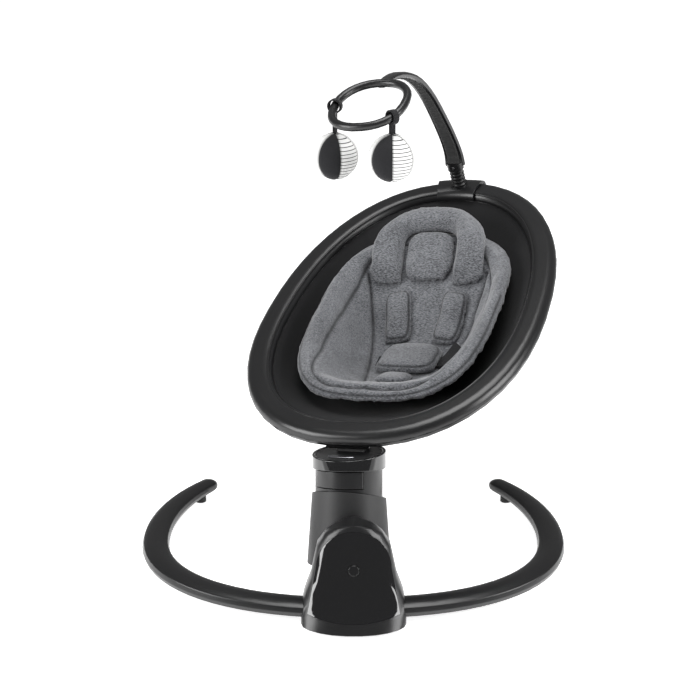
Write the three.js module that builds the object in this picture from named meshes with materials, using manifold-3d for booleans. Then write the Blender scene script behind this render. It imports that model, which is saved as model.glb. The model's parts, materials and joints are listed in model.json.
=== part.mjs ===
// Baby swing: a C-shaped floor base, a leaning drive tower, and a cradle seat that sways on it.
// Millimetres, +Z up, +Y from the front of the base to its rear, +X to the right seen from the front.
import * as THREE from "three";
import { mergeVertices } from "three/addons/utils/BufferGeometryUtils.js";
import Module from "manifold-3d";

const wasm = await Module();
wasm.setup();

// ---- Driving dimensions ----

const gap = 0.4; // between pieces that touch on the real object
const wall = 3; // moulded shells
const pose = {
  axisLean: 18, // sway axis, back from upright
  sway: 22.2, // how far the arm stands from the middle, head end to the right
  recline: 18.4, // seat ring, up from level
};

const pad = { height: 3, radius: 27, tipRadius: 9, noseRadius: 8 };
const cover = { thickness: 3, inset: 4 };
const foot = { width: 104, rear: 178, top: 20, corner: 20 };

const tube = { width: 42, height: 25, level: 20.5, tipWidth: 30, tipHeight: 19 };
const base = { halfWidth: 305, front: 45, side: 265, rearReach: 300, rearTurn: 41, bulge: 2.25 };
const socket = { depth: 12 };

const tower = { height: 143, lean: 22.4, halfWidth: 75, skirt: 22, shoulder: 88, shoulderHalf: 57.5 };
const chin = { nose: 36, forward: 15, height: 42 };
const panel = { thickness: 2.6, sideInset: 4, topInset: 8, bottom: 17, sag: 13 };
const button = { radius: 8, height: 85, proud: 1, length: 7 };

const axis = { y: 200, z: 212 }; // where the seat's pin crosses the sway axis
const shell = { offset: 18, topRadius: 53.5, footRadius: 61.5, rim: -77.5, rimSlope: 0.21, foot: -177 };
const collar = { radius: 49.5, wall: 3.5, top: -37.4, foot: -95, web: -70, webThick: 4, boss: 14 };
const cap = { overhang: 5, ledge: 1.5, top: -14, topSlope: 0.15, base: -37, lidInset: 5, lidDepth: 2.4 };
const badge = { halfWidth: 21, halfDepth: 6.5, thickness: 1.6, forward: 36 };
const lever = { halfWidth: 36, height: 24.4, travel: 4, proud: 0.6, drop: 1 };
const shaft = { radius: 7, headRadius: 12, headHeight: 4, nutRadius: 11, nutHeight: 6 };
const bushing = { wall: 2, length: 12 };
const column = { radius: 28, footRadius: 33, top: -104, plate: 4 };
const drive = { gearRadius: 15, pinionRadius: 5.6, pinionOffset: -21.4, thickness: 5, level: -101.5 };
const motor = { radius: 13, length: 40, shaftRadius: 2, offset: -10.5 };
const post = { width: 44, depth: 24, cheek: 7.5 };
const pin = { radius: 3, clearance: 0.3, head: 5, eye: 6 };

const ring = { halfLength: 333, halfWidth: 234.5, squareness: 2.25, taper: 0.0715 };
const lip = { width: 42, height: 28, split: -9, join: 0.5 };
const hang = { insideFoot: 31.6, abovePin: 31 }; // the pin, in from the ring's foot end and under it
const bowl = { thickness: 3, rim: -13, head: 62, seat: 122, seatAt: -75, seatSpread: 125, power: 2.4 };

const insert = { length: 432, halfWidth: 160, centre: -20, padding: 18, roll: 24, rim: 2, strip: 77 };
const insertPower = { head: 3, foot: 2.8 }; // how square each end of the insert is
const pillow = { halfWidth: 106, foot: 84, head: 217, height: 30, cornerRise: 14 };
const inset = { halfWidth: 43, halfLength: 40, centre: 129, thickness: 17, clearance: 2.5, power: 3.4 };
const harness = { aside: 5 }; // how far the harness lies to the right of the middle
const shoulder = { length: 86, width: 50, at: 45, middle: 35, splay: 8, thickness: 15 };
const waist = { width: 104, length: 86, middle: -57, thickness: 24 };
const crotch = { width: 58, length: 44, middle: -128, thickness: 16 };
const buckle = { width: 44, length: 34, height: 11, button: 18, travel: 2.5 };
const strap = { width: 24, thickness: 2.4, reachLeft: 4, reachRight: 26, rise: 20 };

const clip = { wall: 4, clearance: 1, reach: 0.15, aside: 0.0175 };
const stub = { radius: 11, height: 30, ribs: 4 };
const bar = { width: 36, thickness: 13, tipWidth: 16, tipThickness: 9 };
const toyRing = { length: 124, width: 112, radius: 6.5 };
const toy = { ball: 36, strapWidth: 9, strapThickness: 2.4, loop: 2.2 };
const toyLeft = { drop: 77, turn: 180 }; // from the ring down to the ball, and where on the ring
const toyRight = { drop: 61, turn: -34 };

const pad0 = { y: 70 }; // centre of the resting pad, which is the part's origin

// ---- Small tools ----

const rad = THREE.MathUtils.degToRad;
const signedPow = (value, power) => Math.sign(value) * Math.abs(value) ** power;
const clamp01 = (value) => Math.min(1, Math.max(0, value));
const smooth = (t) => clamp01(t) ** 2 * (3 - 2 * clamp01(t));
const mix = (a, b, t) => a + (b - a) * t;

// A closed geometry from points and triangles, with its faces turned to point outwards.
function closedGeometry(points, triangles) {
  const flat = points.flat();
  let volume = 0;
  for (const [a, b, c] of triangles) {
    const [p, q, r] = [a, b, c].map((i) => new THREE.Vector3(...points[i]));
    volume += p.dot(q.cross(r));
  }
  const order = volume < 0 ? triangles.map(([a, b, c]) => [a, c, b]) : triangles;
  const geometry = new THREE.BufferGeometry();
  geometry.setAttribute("position", new THREE.Float32BufferAttribute(flat, 3));
  geometry.setIndex(order.flat());
  return geometry;
}

// Rings of points joined in turn and closed at both ends, or joined last to first.
function loft(rings, closed = false) {
  const count = rings[0].length;
  const points = rings.flat();
  const triangles = [];
  const bands = closed ? rings.length : rings.length - 1;
  for (let j = 0; j < bands; j++) {
    const next = (j + 1) % rings.length;
    for (let i = 0; i < count; i++) {
      const k = (i + 1) % count;
      const [a, b, c, d] = [j * count + i, j * count + k, next * count + k, next * count + i];
      triangles.push([a, b, c], [a, c, d]);
    }
  }
  if (!closed) {
    for (const [j, flip] of [[0, true], [rings.length - 1, false]]) {
      const middle = rings[j].reduce((sum, p) => sum.map((s, n) => s + p[n] / count), [0, 0, 0]);
      points.push(middle);
      for (let i = 0; i < count; i++) {
        const pair = [j * count + i, j * count + ((i + 1) % count)];
        triangles.push(flip ? [pair[1], pair[0], points.length - 1] : [...pair, points.length - 1]);
      }
    }
  }
  return closedGeometry(points, triangles);
}

// A padded or dished solid over a star-shaped outline: rings run from its centre to its edge.
function dish(outline, centre, steps, top, bottom) {
  const count = outline.length;
  const plan = (r, i) => [
    mix(centre[0], outline[i][0], r),
    mix(centre[1], outline[i][1], r),
  ];
  const points = [];
  const triangles = [];
  for (const height of [top, bottom]) {
    points.push([...centre, height(...centre, 0)]);
    for (const r of steps) {
      for (let i = 0; i < count; i++) {
        const [x, y] = plan(r, i);
        points.push([x, y, height(x, y, r)]);
      }
    }
  }
  const half = points.length / 2;
  for (const [start, flip] of [[0, false], [half, true]]) {
    const add = (a, b, c) => triangles.push(flip ? [a, c, b] : [a, b, c]);
    for (let i = 0; i < count; i++) {
      const k = (i + 1) % count;
      add(start, start + 1 + i, start + 1 + k);
      for (let j = 0; j + 1 < steps.length; j++) {
        const inner = start + 1 + j * count;
        const outer = inner + count;
        add(inner + i, outer + i, outer + k);
        add(inner + i, outer + k, inner + k);
      }
    }
  }
  const edge = 1 + (steps.length - 1) * count;
  for (let i = 0; i < count; i++) {
    const k = (i + 1) % count;
    triangles.push([edge + i, half + edge + i, half + edge + k]);
    triangles.push([edge + i, half + edge + k, edge + k]);
  }
  return closedGeometry(points, triangles);
}

// A solid over a grid: plan(u, v) gives x and y, and top and bottom give z.
function slab(columns, rows, plan, top, bottom) {
  const points = [];
  const triangles = [];
  const width = columns + 1;
  for (const height of [top, bottom]) {
    for (let j = 0; j <= rows; j++) {
      for (let i = 0; i <= columns; i++) {
        const [u, v] = [i / columns, j / rows];
        const [x, y] = plan(u, v);
        points.push([x, y, height(x, y, u, v)]);
      }
    }
  }
  const half = points.length / 2;
  const at = (i, j) => j * width + i;
  for (let j = 0; j < rows; j++) {
    for (let i = 0; i < columns; i++) {
      const [a, b, c, d] = [at(i, j), at(i + 1, j), at(i + 1, j + 1), at(i, j + 1)];
      triangles.push([a, b, c], [a, c, d], [half + a, half + c, half + b], [half + a, half + d, half + c]);
    }
  }
  const border = [];
  for (let i = 0; i < columns; i++) border.push([at(i, 0), at(i + 1, 0)]);
  for (let j = 0; j < rows; j++) border.push([at(columns, j), at(columns, j + 1)]);
  for (let i = columns; i > 0; i--) border.push([at(i, rows), at(i - 1, rows)]);
  for (let j = rows; j > 0; j--) border.push([at(0, j), at(0, j - 1)]);
  for (const [a, b] of border) triangles.push([a, half + a, half + b], [a, half + b, b]);
  return closedGeometry(points, triangles);
}

// Points of a superellipse, which is a plain ellipse at power 2.
function oval(halfX, halfY, power, count, centre = [0, 0]) {
  return Array.from({ length: count }, (_, i) => {
    const t = (2 * Math.PI * i) / count;
    const x = halfX * signedPow(Math.cos(t), 2 / power);
    const y = halfY * signedPow(Math.sin(t), 2 / power);
    return [centre[0] + x, centre[1] + y];
  });
}

function toSolid(geometry) {
  const bare = geometry.clone();
  bare.deleteAttribute("normal");
  bare.deleteAttribute("uv");
  const merged = mergeVertices(bare, 1e-4);
  const mesh = new wasm.Mesh({
    numProp: 3,
    vertProperties: new Float32Array(merged.attributes.position.array),
    triVerts: new Uint32Array(merged.index.array),
  });
  return new wasm.Manifold(mesh);
}

function toGeometry(solid) {
  const { vertProperties, triVerts } = solid.getMesh();
  const geometry = new THREE.BufferGeometry();
  geometry.setAttribute("position", new THREE.BufferAttribute(new Float32Array(vertProperties), 3));
  geometry.setIndex(new THREE.BufferAttribute(new Uint32Array(triVerts), 1));
  return geometry;
}

const join = (...pieces) => toGeometry(pieces.map(toSolid).reduce((sum, s) => sum.add(s)));
const cut = (piece, ...tools) =>
  toGeometry(tools.map(toSolid).reduce((rest, tool) => rest.subtract(tool), toSolid(piece)));
const common = (a, b) => toGeometry(toSolid(a).intersect(toSolid(b)));

// A cylinder or a cone along z from one height to another.
function rod(radius, from, to, { x = 0, y = 0, endRadius = radius, sides = 32 } = {}) {
  const geometry = new THREE.CylinderGeometry(endRadius, radius, to - from, sides);
  geometry.rotateX(Math.PI / 2);
  return geometry.translate(x, y, (from + to) / 2);
}

// A cylinder along x, centred at a place.
function crossRod(radius, length, y = 0, z = 0, x = 0, sides = 24) {
  const geometry = new THREE.CylinderGeometry(radius, radius, length, sides);
  return geometry.rotateZ(Math.PI / 2).translate(x, y, z);
}

function block(x0, x1, y0, y1, z0, z1) {
  const geometry = new THREE.BoxGeometry(x1 - x0, y1 - y0, z1 - z0);
  return geometry.translate((x0 + x1) / 2, (y0 + y1) / 2, (z0 + z1) / 2);
}

function roundedPlate(width, depth, radius, height, power = 4, count = 32) {
  const rim = Math.min(radius, height / 2);
  const level = (z, inset) =>
    oval(width / 2 - inset, depth / 2 - inset, power, count).map(([x, y]) => [x, y, z]);
  return loft([level(0, rim), level(rim, 0), level(height - rim, 0), level(height, rim)]);
}

// A tube along stations, each with a middle, two directions across and two half sizes.
function sweep(stations, power, count, closed = false) {
  const rings = stations.map(({ at, side, up, half }) =>
    oval(half[0], half[1], power, count).map(([a, b]) =>
      at.clone().addScaledVector(side, a).addScaledVector(up, b).toArray(),
    ),
  );
  return loft(rings, closed);
}

// ---- Materials ----

const finish = {
  satin: { color: 0x17181a, roughness: 0.42, metalness: 0.0 },
  gloss: { color: 0x060607, roughness: 0.06, metalness: 0.0 },
  matte: { color: 0x1c1d1f, roughness: 0.75, metalness: 0.0 },
  rubber: { color: 0x0d0d0e, roughness: 0.9, metalness: 0.0 },
  steel: { color: 0xb5b8bb, roughness: 0.3, metalness: 1.0 },
  brass: { color: 0xc39a4c, roughness: 0.35, metalness: 1.0 },
  board: { color: 0x14532d, roughness: 0.6, metalness: 0.0 },
  badge: { color: 0xd9dadb, roughness: 0.3, metalness: 0.6 },
  nylon: { color: 0xe4e1d8, roughness: 0.5, metalness: 0.0 },
  mesh: { color: 0x101012, roughness: 0.95, metalness: 0.0 },
  melange: { color: 0x5b5e63, roughness: 0.95, metalness: 0.0 },
  webbing: { color: 0x0c0c0d, roughness: 0.85, metalness: 0.0 },
  toy: { color: 0xdedcd8, roughness: 0.9, metalness: 0.0 },
};

function piece(name, geometry, look) {
  const shown = geometry.index ? geometry.toNonIndexed() : geometry;
  shown.computeVertexNormals();
  const mesh = new THREE.Mesh(shown, new THREE.MeshStandardMaterial(finish[look]));
  mesh.name = name;
  return mesh;
}

// ---- Base ----

const frontShare = 0.62; // of the tube lies ahead of the base's widest place
const firstTurn = 0.08;

// Middle line of one base tube, from inside the tower's foot (0) round to its tip (1).
function tubePlace(t, side) {
  if (t < frontShare) {
    const turn = mix(firstTurn, Math.PI / 2, t / frontShare);
    const x = base.halfWidth * Math.sin(turn) ** (2 / base.bulge);
    const y = base.side - (base.side - base.front) * Math.cos(turn) ** (2 / base.bulge);
    return new THREE.Vector3(side * x, y, tube.level);
  }
  const turn = rad(base.rearTurn) * ((t - frontShare) / (1 - frontShare));
  const x = base.halfWidth * Math.cos(turn);
  const y = base.side + base.rearReach * Math.sin(turn);
  return new THREE.Vector3(side * x, y, tube.level);
}

// How far along the tube its middle line is a distance out from the centre.
function tubeShare(x) {
  const turn = Math.asin((x / base.halfWidth) ** (base.bulge / 2));
  return (frontShare * (turn - firstTurn)) / (Math.PI / 2 - firstTurn);
}

function tubeStations(side, from, to, count, grow = 0) {
  const up = new THREE.Vector3(0, 0, 1);
  return Array.from({ length: count + 1 }, (_, i) => {
    const t = mix(from, to, i / count);
    const at = tubePlace(t, side);
    const along = tubePlace(Math.min(1, t + 0.01), side).sub(tubePlace(t - 0.01, side)).normalize();
    const thin = clamp01((t - 0.62) / 0.38) ** 1.5;
    const half = [
      mix(tube.width, tube.tipWidth, thin) / 2 + grow,
      mix(tube.height, tube.tipHeight, thin) / 2 + grow,
    ];
    return { at, side: along.clone().cross(up), up, half };
  });
}

function baseTube(side) {
  const stations = tubeStations(side, tubeShare(tower.halfWidth - socket.depth), 0.975, 28);
  const last = stations[stations.length - 1];
  const along = last.up.clone().cross(last.side);
  for (const [reach, share] of [[0.35, 0.93], [0.7, 0.72], [0.95, 0.34]]) {
    const at = last.at.clone().addScaledVector(along, reach * last.half[0]);
    stations.push({ ...last, at, half: last.half.map((h) => h * share) });
  }
  return sweep(stations, 2.3, 12);
}

// One level of the tower's foot and body: a rounded nose in front and a square back.
function towerLevel(z, grow, back) {
  const rise = clamp01((z - tower.shoulder) / (tower.height + grow - tower.shoulder));
  const flare = smooth((z - tower.skirt) / (tower.shoulder - tower.skirt));
  const straight = mix(tower.halfWidth, tower.shoulderHalf, flare);
  const half = (straight + grow) * Math.sqrt(Math.max(0.0004, 1 - rise * rise));
  const nose = mix(chin.nose, 0.5 * chin.nose, clamp01(z / tower.height)) * Math.min(1, half / 40);
  const forward = chin.forward * (1 - smooth(z / chin.height));
  const front = Math.tan(rad(tower.lean)) * z - grow - forward;
  const count = 22;
  return Array.from({ length: count }, (_, i) => {
    const t = (2 * Math.PI * i) / count;
    const [c, s] = [Math.cos(t), Math.sin(t)];
    const x = half * signedPow(c, s < 0 ? 0.95 : 0.4);
    const y = s < 0 ? front + nose - nose * Math.abs(s) ** 0.95 : mix(front + nose, back, s ** 0.4);
    return [x, y, z];
  });
}

function towerBody(grow, from, back) {
  const top = tower.height + grow;
  const low = [0, 0.14, 0.26, 0.38, 0.52, 0.72].map((s) => mix(from, tower.shoulder, s));
  const high = [0, 0.4, 0.7, 0.88, 0.97, 1].map((s) => mix(tower.shoulder, top, s));
  const levels = [...low, ...high];
  return loft(levels.map((z) => towerLevel(z, grow, back)));
}

// The outline of the front panel, in the plane of the leaning face.
function panelOutline(grow) {
  const face = tower.height / Math.cos(rad(tower.lean));
  const bend = tower.shoulder / Math.cos(rad(tower.lean));
  const halfTop = tower.shoulderHalf - panel.sideInset + grow;
  const halfFoot = tower.halfWidth - panel.sideInset - 5 + grow;
  const outline = new THREE.Shape();
  outline.moveTo(-halfFoot, panel.bottom + panel.sag - grow);
  outline.quadraticCurveTo(0, panel.bottom - panel.sag - grow, halfFoot, panel.bottom + panel.sag - grow);
  outline.lineTo(halfTop, bend);
  outline.absellipse(0, bend, halfTop, face - bend - panel.topInset + grow, 0, Math.PI, false, 0);
  outline.closePath();
  return outline;
}

const faceTurn = new THREE.Matrix4().makeRotationX(Math.PI / 2 - rad(tower.lean));

function panelPrism(grow) {
  const settings = { depth: 90, bevelEnabled: false, curveSegments: 10 };
  const prism = new THREE.ExtrudeGeometry(panelOutline(grow), settings);
  return prism.translate(0, 0, -62).applyMatrix4(faceTurn);
}

// The space that the swinging shell sweeps, with a margin, about the leaning axis.
function sweepSpace(margin) {
  const reach = (radius) => shell.offset + radius + margin;
  const upper = { endRadius: reach(shell.topRadius), sides: 40 };
  const cone = rod(reach(shell.footRadius), shell.foot - 6, 20, upper);
  return cone.applyMatrix4(axisMatrix);
}

const axisMatrix = new THREE.Matrix4()
  .makeRotationX(-rad(pose.axisLean))
  .setPosition(0, axis.y, axis.z);

const coverTop = pad.height + 0.3 + cover.thickness;
const housingBase = coverTop + gap;
const bodyBack = 92;
const deepBack = bodyBack + 70; // past the back, so that only the front skin is cut

function footPlan(inset) {
  const half = foot.width / 2 - inset;
  const rear = foot.rear - inset;
  const outline = new THREE.Shape();
  outline.moveTo(-half, 60);
  outline.lineTo(half, 60);
  outline.lineTo(half, rear - foot.corner);
  outline.quadraticCurveTo(half, rear, half - foot.corner, rear);
  outline.lineTo(-half + foot.corner, rear);
  outline.quadraticCurveTo(-half, rear, -half, rear - foot.corner);
  outline.closePath();
  return outline;
}

function footBody(inset, from, to) {
  const settings = { depth: to - from, bevelEnabled: false, curveSegments: 6 };
  return new THREE.ExtrudeGeometry(footPlan(inset), settings).translate(0, 0, from);
}

function tubeBores() {
  const from = tubeShare(tower.halfWidth - socket.depth - 1);
  const to = tubeShare(tower.halfWidth + 30);
  return [-1, 1].map((side) => sweep(tubeStations(side, from, to, 8, 1.5 * gap), 2.3, 12));
}

function baseHousing() {
  const outside = join(towerBody(0, housingBase, bodyBack), footBody(0, housingBase, foot.top));
  const inside = cut(
    join(
      towerBody(-wall - panel.thickness - 1, housingBase - 5, bodyBack - wall),
      footBody(wall, housingBase - 5, foot.top - wall),
    ),
    sweepSpace(shellClear + wall),
  );
  const recess = cut(panelPrism(gap), towerBody(-panel.thickness - gap, housingBase, deepBack));
  const buttonHole = faceRod(button.radius + gap, -30, 20);
  const inlet = block(-7, 7, foot.rear - 12, foot.rear + 5, housingBase + 1.6, foot.top - 4);
  return cut(outside, inside, ...tubeBores(), recess, buttonHole, sweepSpace(shellClear), inlet);
}

const shellClear = 2.5;

// A rod square to the leaning face, at the button's height.
function faceRod(radius, from, to, sides = 32) {
  const rise = button.height / Math.cos(rad(tower.lean));
  return rod(radius, from, to, { sides }).translate(0, rise, 0).applyMatrix4(faceTurn);
}

function frontPanel() {
  const skin = common(towerBody(0, housingBase, bodyBack), panelPrism(0));
  const back = towerBody(-panel.thickness, housingBase, deepBack);
  return cut(skin, back, faceRod(button.radius + gap, -30, 20), ...tubeBores());
}

// A box in the leaning face's frame, centred at a height up the tower.
function faceBox(halfX, height, length, from, to) {
  const rise = height / Math.cos(rad(tower.lean));
  return block(-halfX, halfX, rise - length / 2, rise + length / 2, from, to).applyMatrix4(faceTurn);
}

const powerButton = () =>
  join(
    faceRod(button.radius, -button.length, button.proud),
    faceRod(button.radius - 1, -button.length - 0.5, button.proud + 0.4),
  );

function speaker() {
  const rise = (0.32 * tower.height) / Math.cos(rad(tower.lean));
  const body = join(rod(17, -19, -16), rod(12, -26, -18), rod(8, -30, -25));
  return body.translate(0, rise, 0).applyMatrix4(faceTurn);
}

// The socket for the supply's plug, in the rear wall of the foot.
function dcInlet() {
  const middle = (housingBase + 1.6 + foot.top - 4) / 2;
  const half = (foot.top - 4 - housingBase - 1.6) / 2 - gap;
  const body = block(-6.6, 6.6, foot.rear - 14, foot.rear + 0.6, middle - half, middle + half);
  const bore = rod(3, 0, 11, { sides: 20 }).rotateX(Math.PI / 2).translate(0, foot.rear + 1, middle);
  return cut(body, bore);
}

const coverScrews = [[-34, 52], [34, 52], [0, 160]];

function coverScrew(x, y) {
  const low = pad.height + 0.6;
  return join(rod(3, low, low + 1.5, { x, y, sides: 20 }), rod(1.4, low + 1, coverTop, { x, y, sides: 12 }));
}

function baseCover() {
  const flat = (grow) => towerLevel(housingBase, grow, bodyBack).map(([x, y]) => [x, y]);
  const nose = flat(-cover.inset);
  const plate = (z) => nose.map(([x, y]) => [x, y, z]);
  const low = pad.height + 0.3;
  const front = loft([plate(low), plate(coverTop)]);
  const holes = coverScrews.map(([x, y]) => rod(3.4, low - 1, coverTop + 1, { x, y, sides: 20 }));
  return cut(join(front, footBody(cover.inset, low, coverTop)), ...holes);
}

const footPad = (radius, x, y) => rod(radius, 0, pad.height, { x, y, sides: 28 });

function tipPad(side) {
  const at = tubePlace(0.94, side);
  const under = tube.level - mix(tube.height, tube.tipHeight, 0.8) / 2 - gap;
  const blank = rod(pad.tipRadius, 0, under + 4, { x: at.x, y: at.y, sides: 24 });
  return cut(blank, sweep(tubeStations(side, 0.8, 1, 10, gap), 2.3, 16));
}

function pivotColumn() {
  const floor = block(-90, 90, -90, 90, -400, 0).translate(0, axis.y - 60, foot.top + gap);
  const shellOf = (grow, from, to) =>
    rod(column.footRadius + grow, from, to, { endRadius: column.radius + grow, sides: 48 });
  const outer = shellOf(0, -230, column.top);
  const inner = shellOf(-wall, -231, column.top - column.plate);
  const shaftHole = rod(shaft.radius + 0.3, column.top - 10, column.top + 10);
  const motorHole = rod(motor.shaftRadius + 1, column.top - 10, column.top + 10, { y: drive.pinionOffset });
  const body = cut(outer, inner, shaftHole, motorHole).applyMatrix4(axisMatrix);
  return cut(body, floor);
}

// ---- Drive, in the frame of the leaning axis ----

function toothed(radius, teeth, thickness, bore) {
  const outline = new THREE.Shape();
  for (let i = 0; i < teeth; i++) {
    for (const [share, depth] of [[0, 1.6], [0.25, 1.6], [0.45, 0], [0.8, 0]]) {
      const turn = (2 * Math.PI * (i + share)) / teeth;
      const r = radius - depth;
      if (i + share === 0) outline.moveTo(r, 0);
      else outline.lineTo(r * Math.cos(turn), r * Math.sin(turn));
    }
  }
  outline.closePath();
  const hole = new THREE.Path();
  hole.absarc(0, 0, bore, 0, 2 * Math.PI, true);
  outline.holes.push(hole);
  return new THREE.ExtrudeGeometry(outline, { depth: thickness, bevelEnabled: false, curveSegments: 12 });
}

function pivotShaft() {
  const bottom = column.top - column.plate - gap;
  const top = bossTop + shaft.nutHeight + 1.5;
  return join(
    rod(shaft.headRadius, bottom - shaft.headHeight, bottom),
    rod(shaft.radius, bottom - 1, top),
  );
}

function gearMotor() {
  const top = column.top - column.plate - shaft.headHeight - 2 * gap;
  const y = drive.pinionOffset;
  return join(
    rod(motor.radius, top - motor.length, top, { y: motor.offset }),
    rod(motor.shaftRadius, top - 2, drive.level + drive.thickness, { y, sides: 16 }),
  );
}

const bossTop = collar.web + 10;
const bossFoot = drive.level + drive.thickness + gap;
const boreRadius = shaft.radius + bushing.wall + gap;

const bush = (from) =>
  cut(
    rod(shaft.radius + bushing.wall, from, from + bushing.length),
    rod(shaft.radius + 0.2, from - 1, from + bushing.length + 1),
  );

const shaftNut = () =>
  cut(
    rod(shaft.nutRadius, bossTop + gap, bossTop + gap + shaft.nutHeight, { sides: 6 }),
    rod(shaft.radius + 0.2, bossTop - 1, bossTop + shaft.nutHeight + 3),
  );

// ---- Swinging tower, in the frame of the leaning axis ----

const rimHeight = (y, lift = 0) => shell.rim + lift - shell.rimSlope * (y + shell.offset);

// A tall block whose underside is a tilted plane, for cutting slanted tops.
function above(height) {
  const corners = [[-120, -140], [120, -140], [120, 120], [-120, 120]];
  return loft([corners.map(([x, y]) => [x, y, height(y)]), corners.map(([x, y]) => [x, y, 90])]);
}

function armShell() {
  const y = -shell.offset;
  const top = rimHeight(-shell.offset - shell.topRadius) + 4;
  const outer = rod(shell.footRadius, shell.foot, top, { y, endRadius: shell.topRadius, sides: 48 });
  const sleeve = rod(collar.radius + 0.7, shell.foot - 1, top + 1, { y, sides: 48 });
  const flare = rod(shell.footRadius - wall, shell.foot - 0.1, -98, {
    y,
    endRadius: shell.topRadius - wall + 1.5,
    sides: 48,
  });
  return cut(outer, sleeve, flare, above((yy) => rimHeight(yy)));
}

function collarShell() {
  const y = -shell.offset;
  const tube = cut(
    rod(collar.radius, collar.foot, collar.top, { y, sides: 48 }),
    rod(collar.radius - collar.wall, collar.foot - 1, collar.web, { y, sides: 48 }),
    rod(collar.radius - collar.wall, collar.web + collar.webThick, collar.top + 1, { y, sides: 48 }),
  );
  const boss = rod(collar.boss, bossFoot, bossTop);
  const window = block(
    -lever.halfWidth - gap, lever.halfWidth + gap,
    -shell.offset - collar.radius - 5, -shell.offset - 22,
    leverFoot - lever.drop, collar.top + 2,
  );
  return cut(join(tube, boss), rod(boreRadius, bossFoot - 1, bossTop + 1), window);
}

const leverTop = collar.top - 0.9;
const leverFoot = leverTop - lever.height;

function releaseLever() {
  const y = -shell.offset;
  const band = cut(
    rod(collar.radius + lever.proud, leverFoot, leverTop, { y, sides: 48 }),
    rod(collar.radius - collar.wall - 0.5, leverFoot - 1, leverTop + 1, { y, sides: 48 }),
  );
  const front = block(
    -lever.halfWidth, lever.halfWidth,
    y - collar.radius - 5, y - 23,
    leverFoot - 1, leverTop + 1,
  );
  return common(band, front);
}

// A compression spring along y, pressing the release lever outwards.
function leverSpring() {
  const front = -shell.offset - collar.radius + collar.wall + lever.travel + 1.5;
  const back = -post.depth / 2 - 1;
  const turns = 4;
  const stations = Array.from({ length: turns * 10 + 1 }, (_, i) => {
    const turn = (2 * Math.PI * i) / 10;
    const out = new THREE.Vector3(Math.cos(turn), 0, Math.sin(turn));
    const middle = new THREE.Vector3(0, mix(front, back, i / (turns * 10)), -51);
    const at = out.clone().multiplyScalar(4.5).add(middle);
    return { at, side: out, up: new THREE.Vector3(0, 1, 0), half: [0.6, 0.6] };
  });
  return sweep(stations, 2, 5);
}

const capRadius = collar.radius + cap.overhang;
const capHeight = (y, sink = 0) => cap.top - sink + cap.topSlope * (y + shell.offset);

function hubCap() {
  const y = -shell.offset;
  const body = cut(rod(capRadius, cap.base, 10, { y, sides: 48 }), above((yy) => capHeight(yy)));
  const room = cut(
    rod(collar.radius - cap.ledge, cap.base - 1, 10, { y, sides: 48 }),
    above((yy) => capHeight(yy, cap.lidDepth + wall)),
  );
  const lidSeat = cut(
    rod(capRadius - cap.lidInset, cap.base, 20, { y, sides: 48 }),
    cut(rod(capRadius * 2, cap.base - 5, 30, { y }), above((yy) => capHeight(yy, cap.lidDepth))),
  );
  return cut(body, room, lidSeat, postHole(1));
}

const postHole = (grow) =>
  block(
    -post.width / 2 - grow, post.width / 2 + grow,
    -post.depth / 2 - grow, post.depth / 2 + grow,
    -90, 20,
  );

function capLid() {
  const y = -shell.offset;
  const disc = rod(capRadius - cap.lidInset - gap, -45, 20, { y, sides: 48 });
  const top = cut(disc, above((yy) => capHeight(yy, 0.4)));
  const under = cut(rod(capRadius * 2, -50, 30, { y }), above((yy) => capHeight(yy, cap.lidDepth - gap)));
  return cut(top, under, postHole(0.8));
}

function hubBadge() {
  const lean = Math.atan(cap.topSlope);
  const plate = oval(badge.halfWidth, badge.halfDepth, 2, 40);
  const shape = loft([
    plate.map(([x, y]) => [x, y, 0]),
    plate.map(([x, y]) => [x * 0.96, y * 0.9, badge.thickness]),
  ]);
  const y = -badge.forward - 12;
  return shape.rotateX(lean).translate(0, y, capHeight(y) + 0.1);
}

function hubPost() {
  const web = collar.web + collar.webThick + gap;
  const half = post.width / 2;
  const body = block(-half, half, -post.depth / 2, post.depth / 2, web, -pin.radius - 5);
  const bossRoom = rod(collar.boss + 1, web - 1, bossTop + 1);
  const nutRoom = rod(shaft.nutRadius + 2, bossTop, bossTop + shaft.nutHeight + 4);
  const cheeks = [-1, 1].map((side) => {
    const inner = side * (half - post.cheek);
    const outer = side * half;
    const [x0, x1] = [Math.min(inner, outer), Math.max(inner, outer)];
    const upright = block(x0, x1, -pin.eye, pin.eye, -pin.radius - 6, 0);
    return join(upright, crossRod(pin.eye, post.cheek, 0, 0, (x0 + x1) / 2));
  });
  return cut(join(body, ...cheeks), bossRoom, nutRoom, crossRod(pin.radius + pin.clearance, post.width * 2));
}

function reclinePin() {
  const half = post.width / 2 + gap;
  return join(
    crossRod(pin.radius, 2 * half + 2),
    crossRod(pin.head, 3, 0, 0, half + 1.5),
    crossRod(pin.head, 3, 0, 0, -half - 1.5),
  );
}

// ---- Seat, in the plane of its ring: +Y to the head, +Z square to the ring ----

// The ring's outline, drawn in by an inset, with its wider end at the feet.
function ringPoint(turn, drawn = 0) {
  const place = (t) => {
    const y = ring.halfLength * signedPow(Math.cos(t), 2 / ring.squareness);
    const x = ring.halfWidth * signedPow(Math.sin(t), 2 / ring.squareness);
    return new THREE.Vector2(x * (1 - (ring.taper * y) / ring.halfLength), y);
  };
  const at = place(turn);
  const along = place(turn + 0.01).sub(place(turn - 0.01)).normalize();
  const inward = new THREE.Vector2(along.y, -along.x);
  if (inward.dot(at) > 0) inward.negate();
  return { at: at.addScaledVector(inward, drawn), inward };
}

// Evenly spread turns, kept off the exact corners of the outline's formula.
const ringTurns = (count) => Array.from({ length: count }, (_, i) => (2 * Math.PI * (i + 0.5)) / count);

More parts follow.
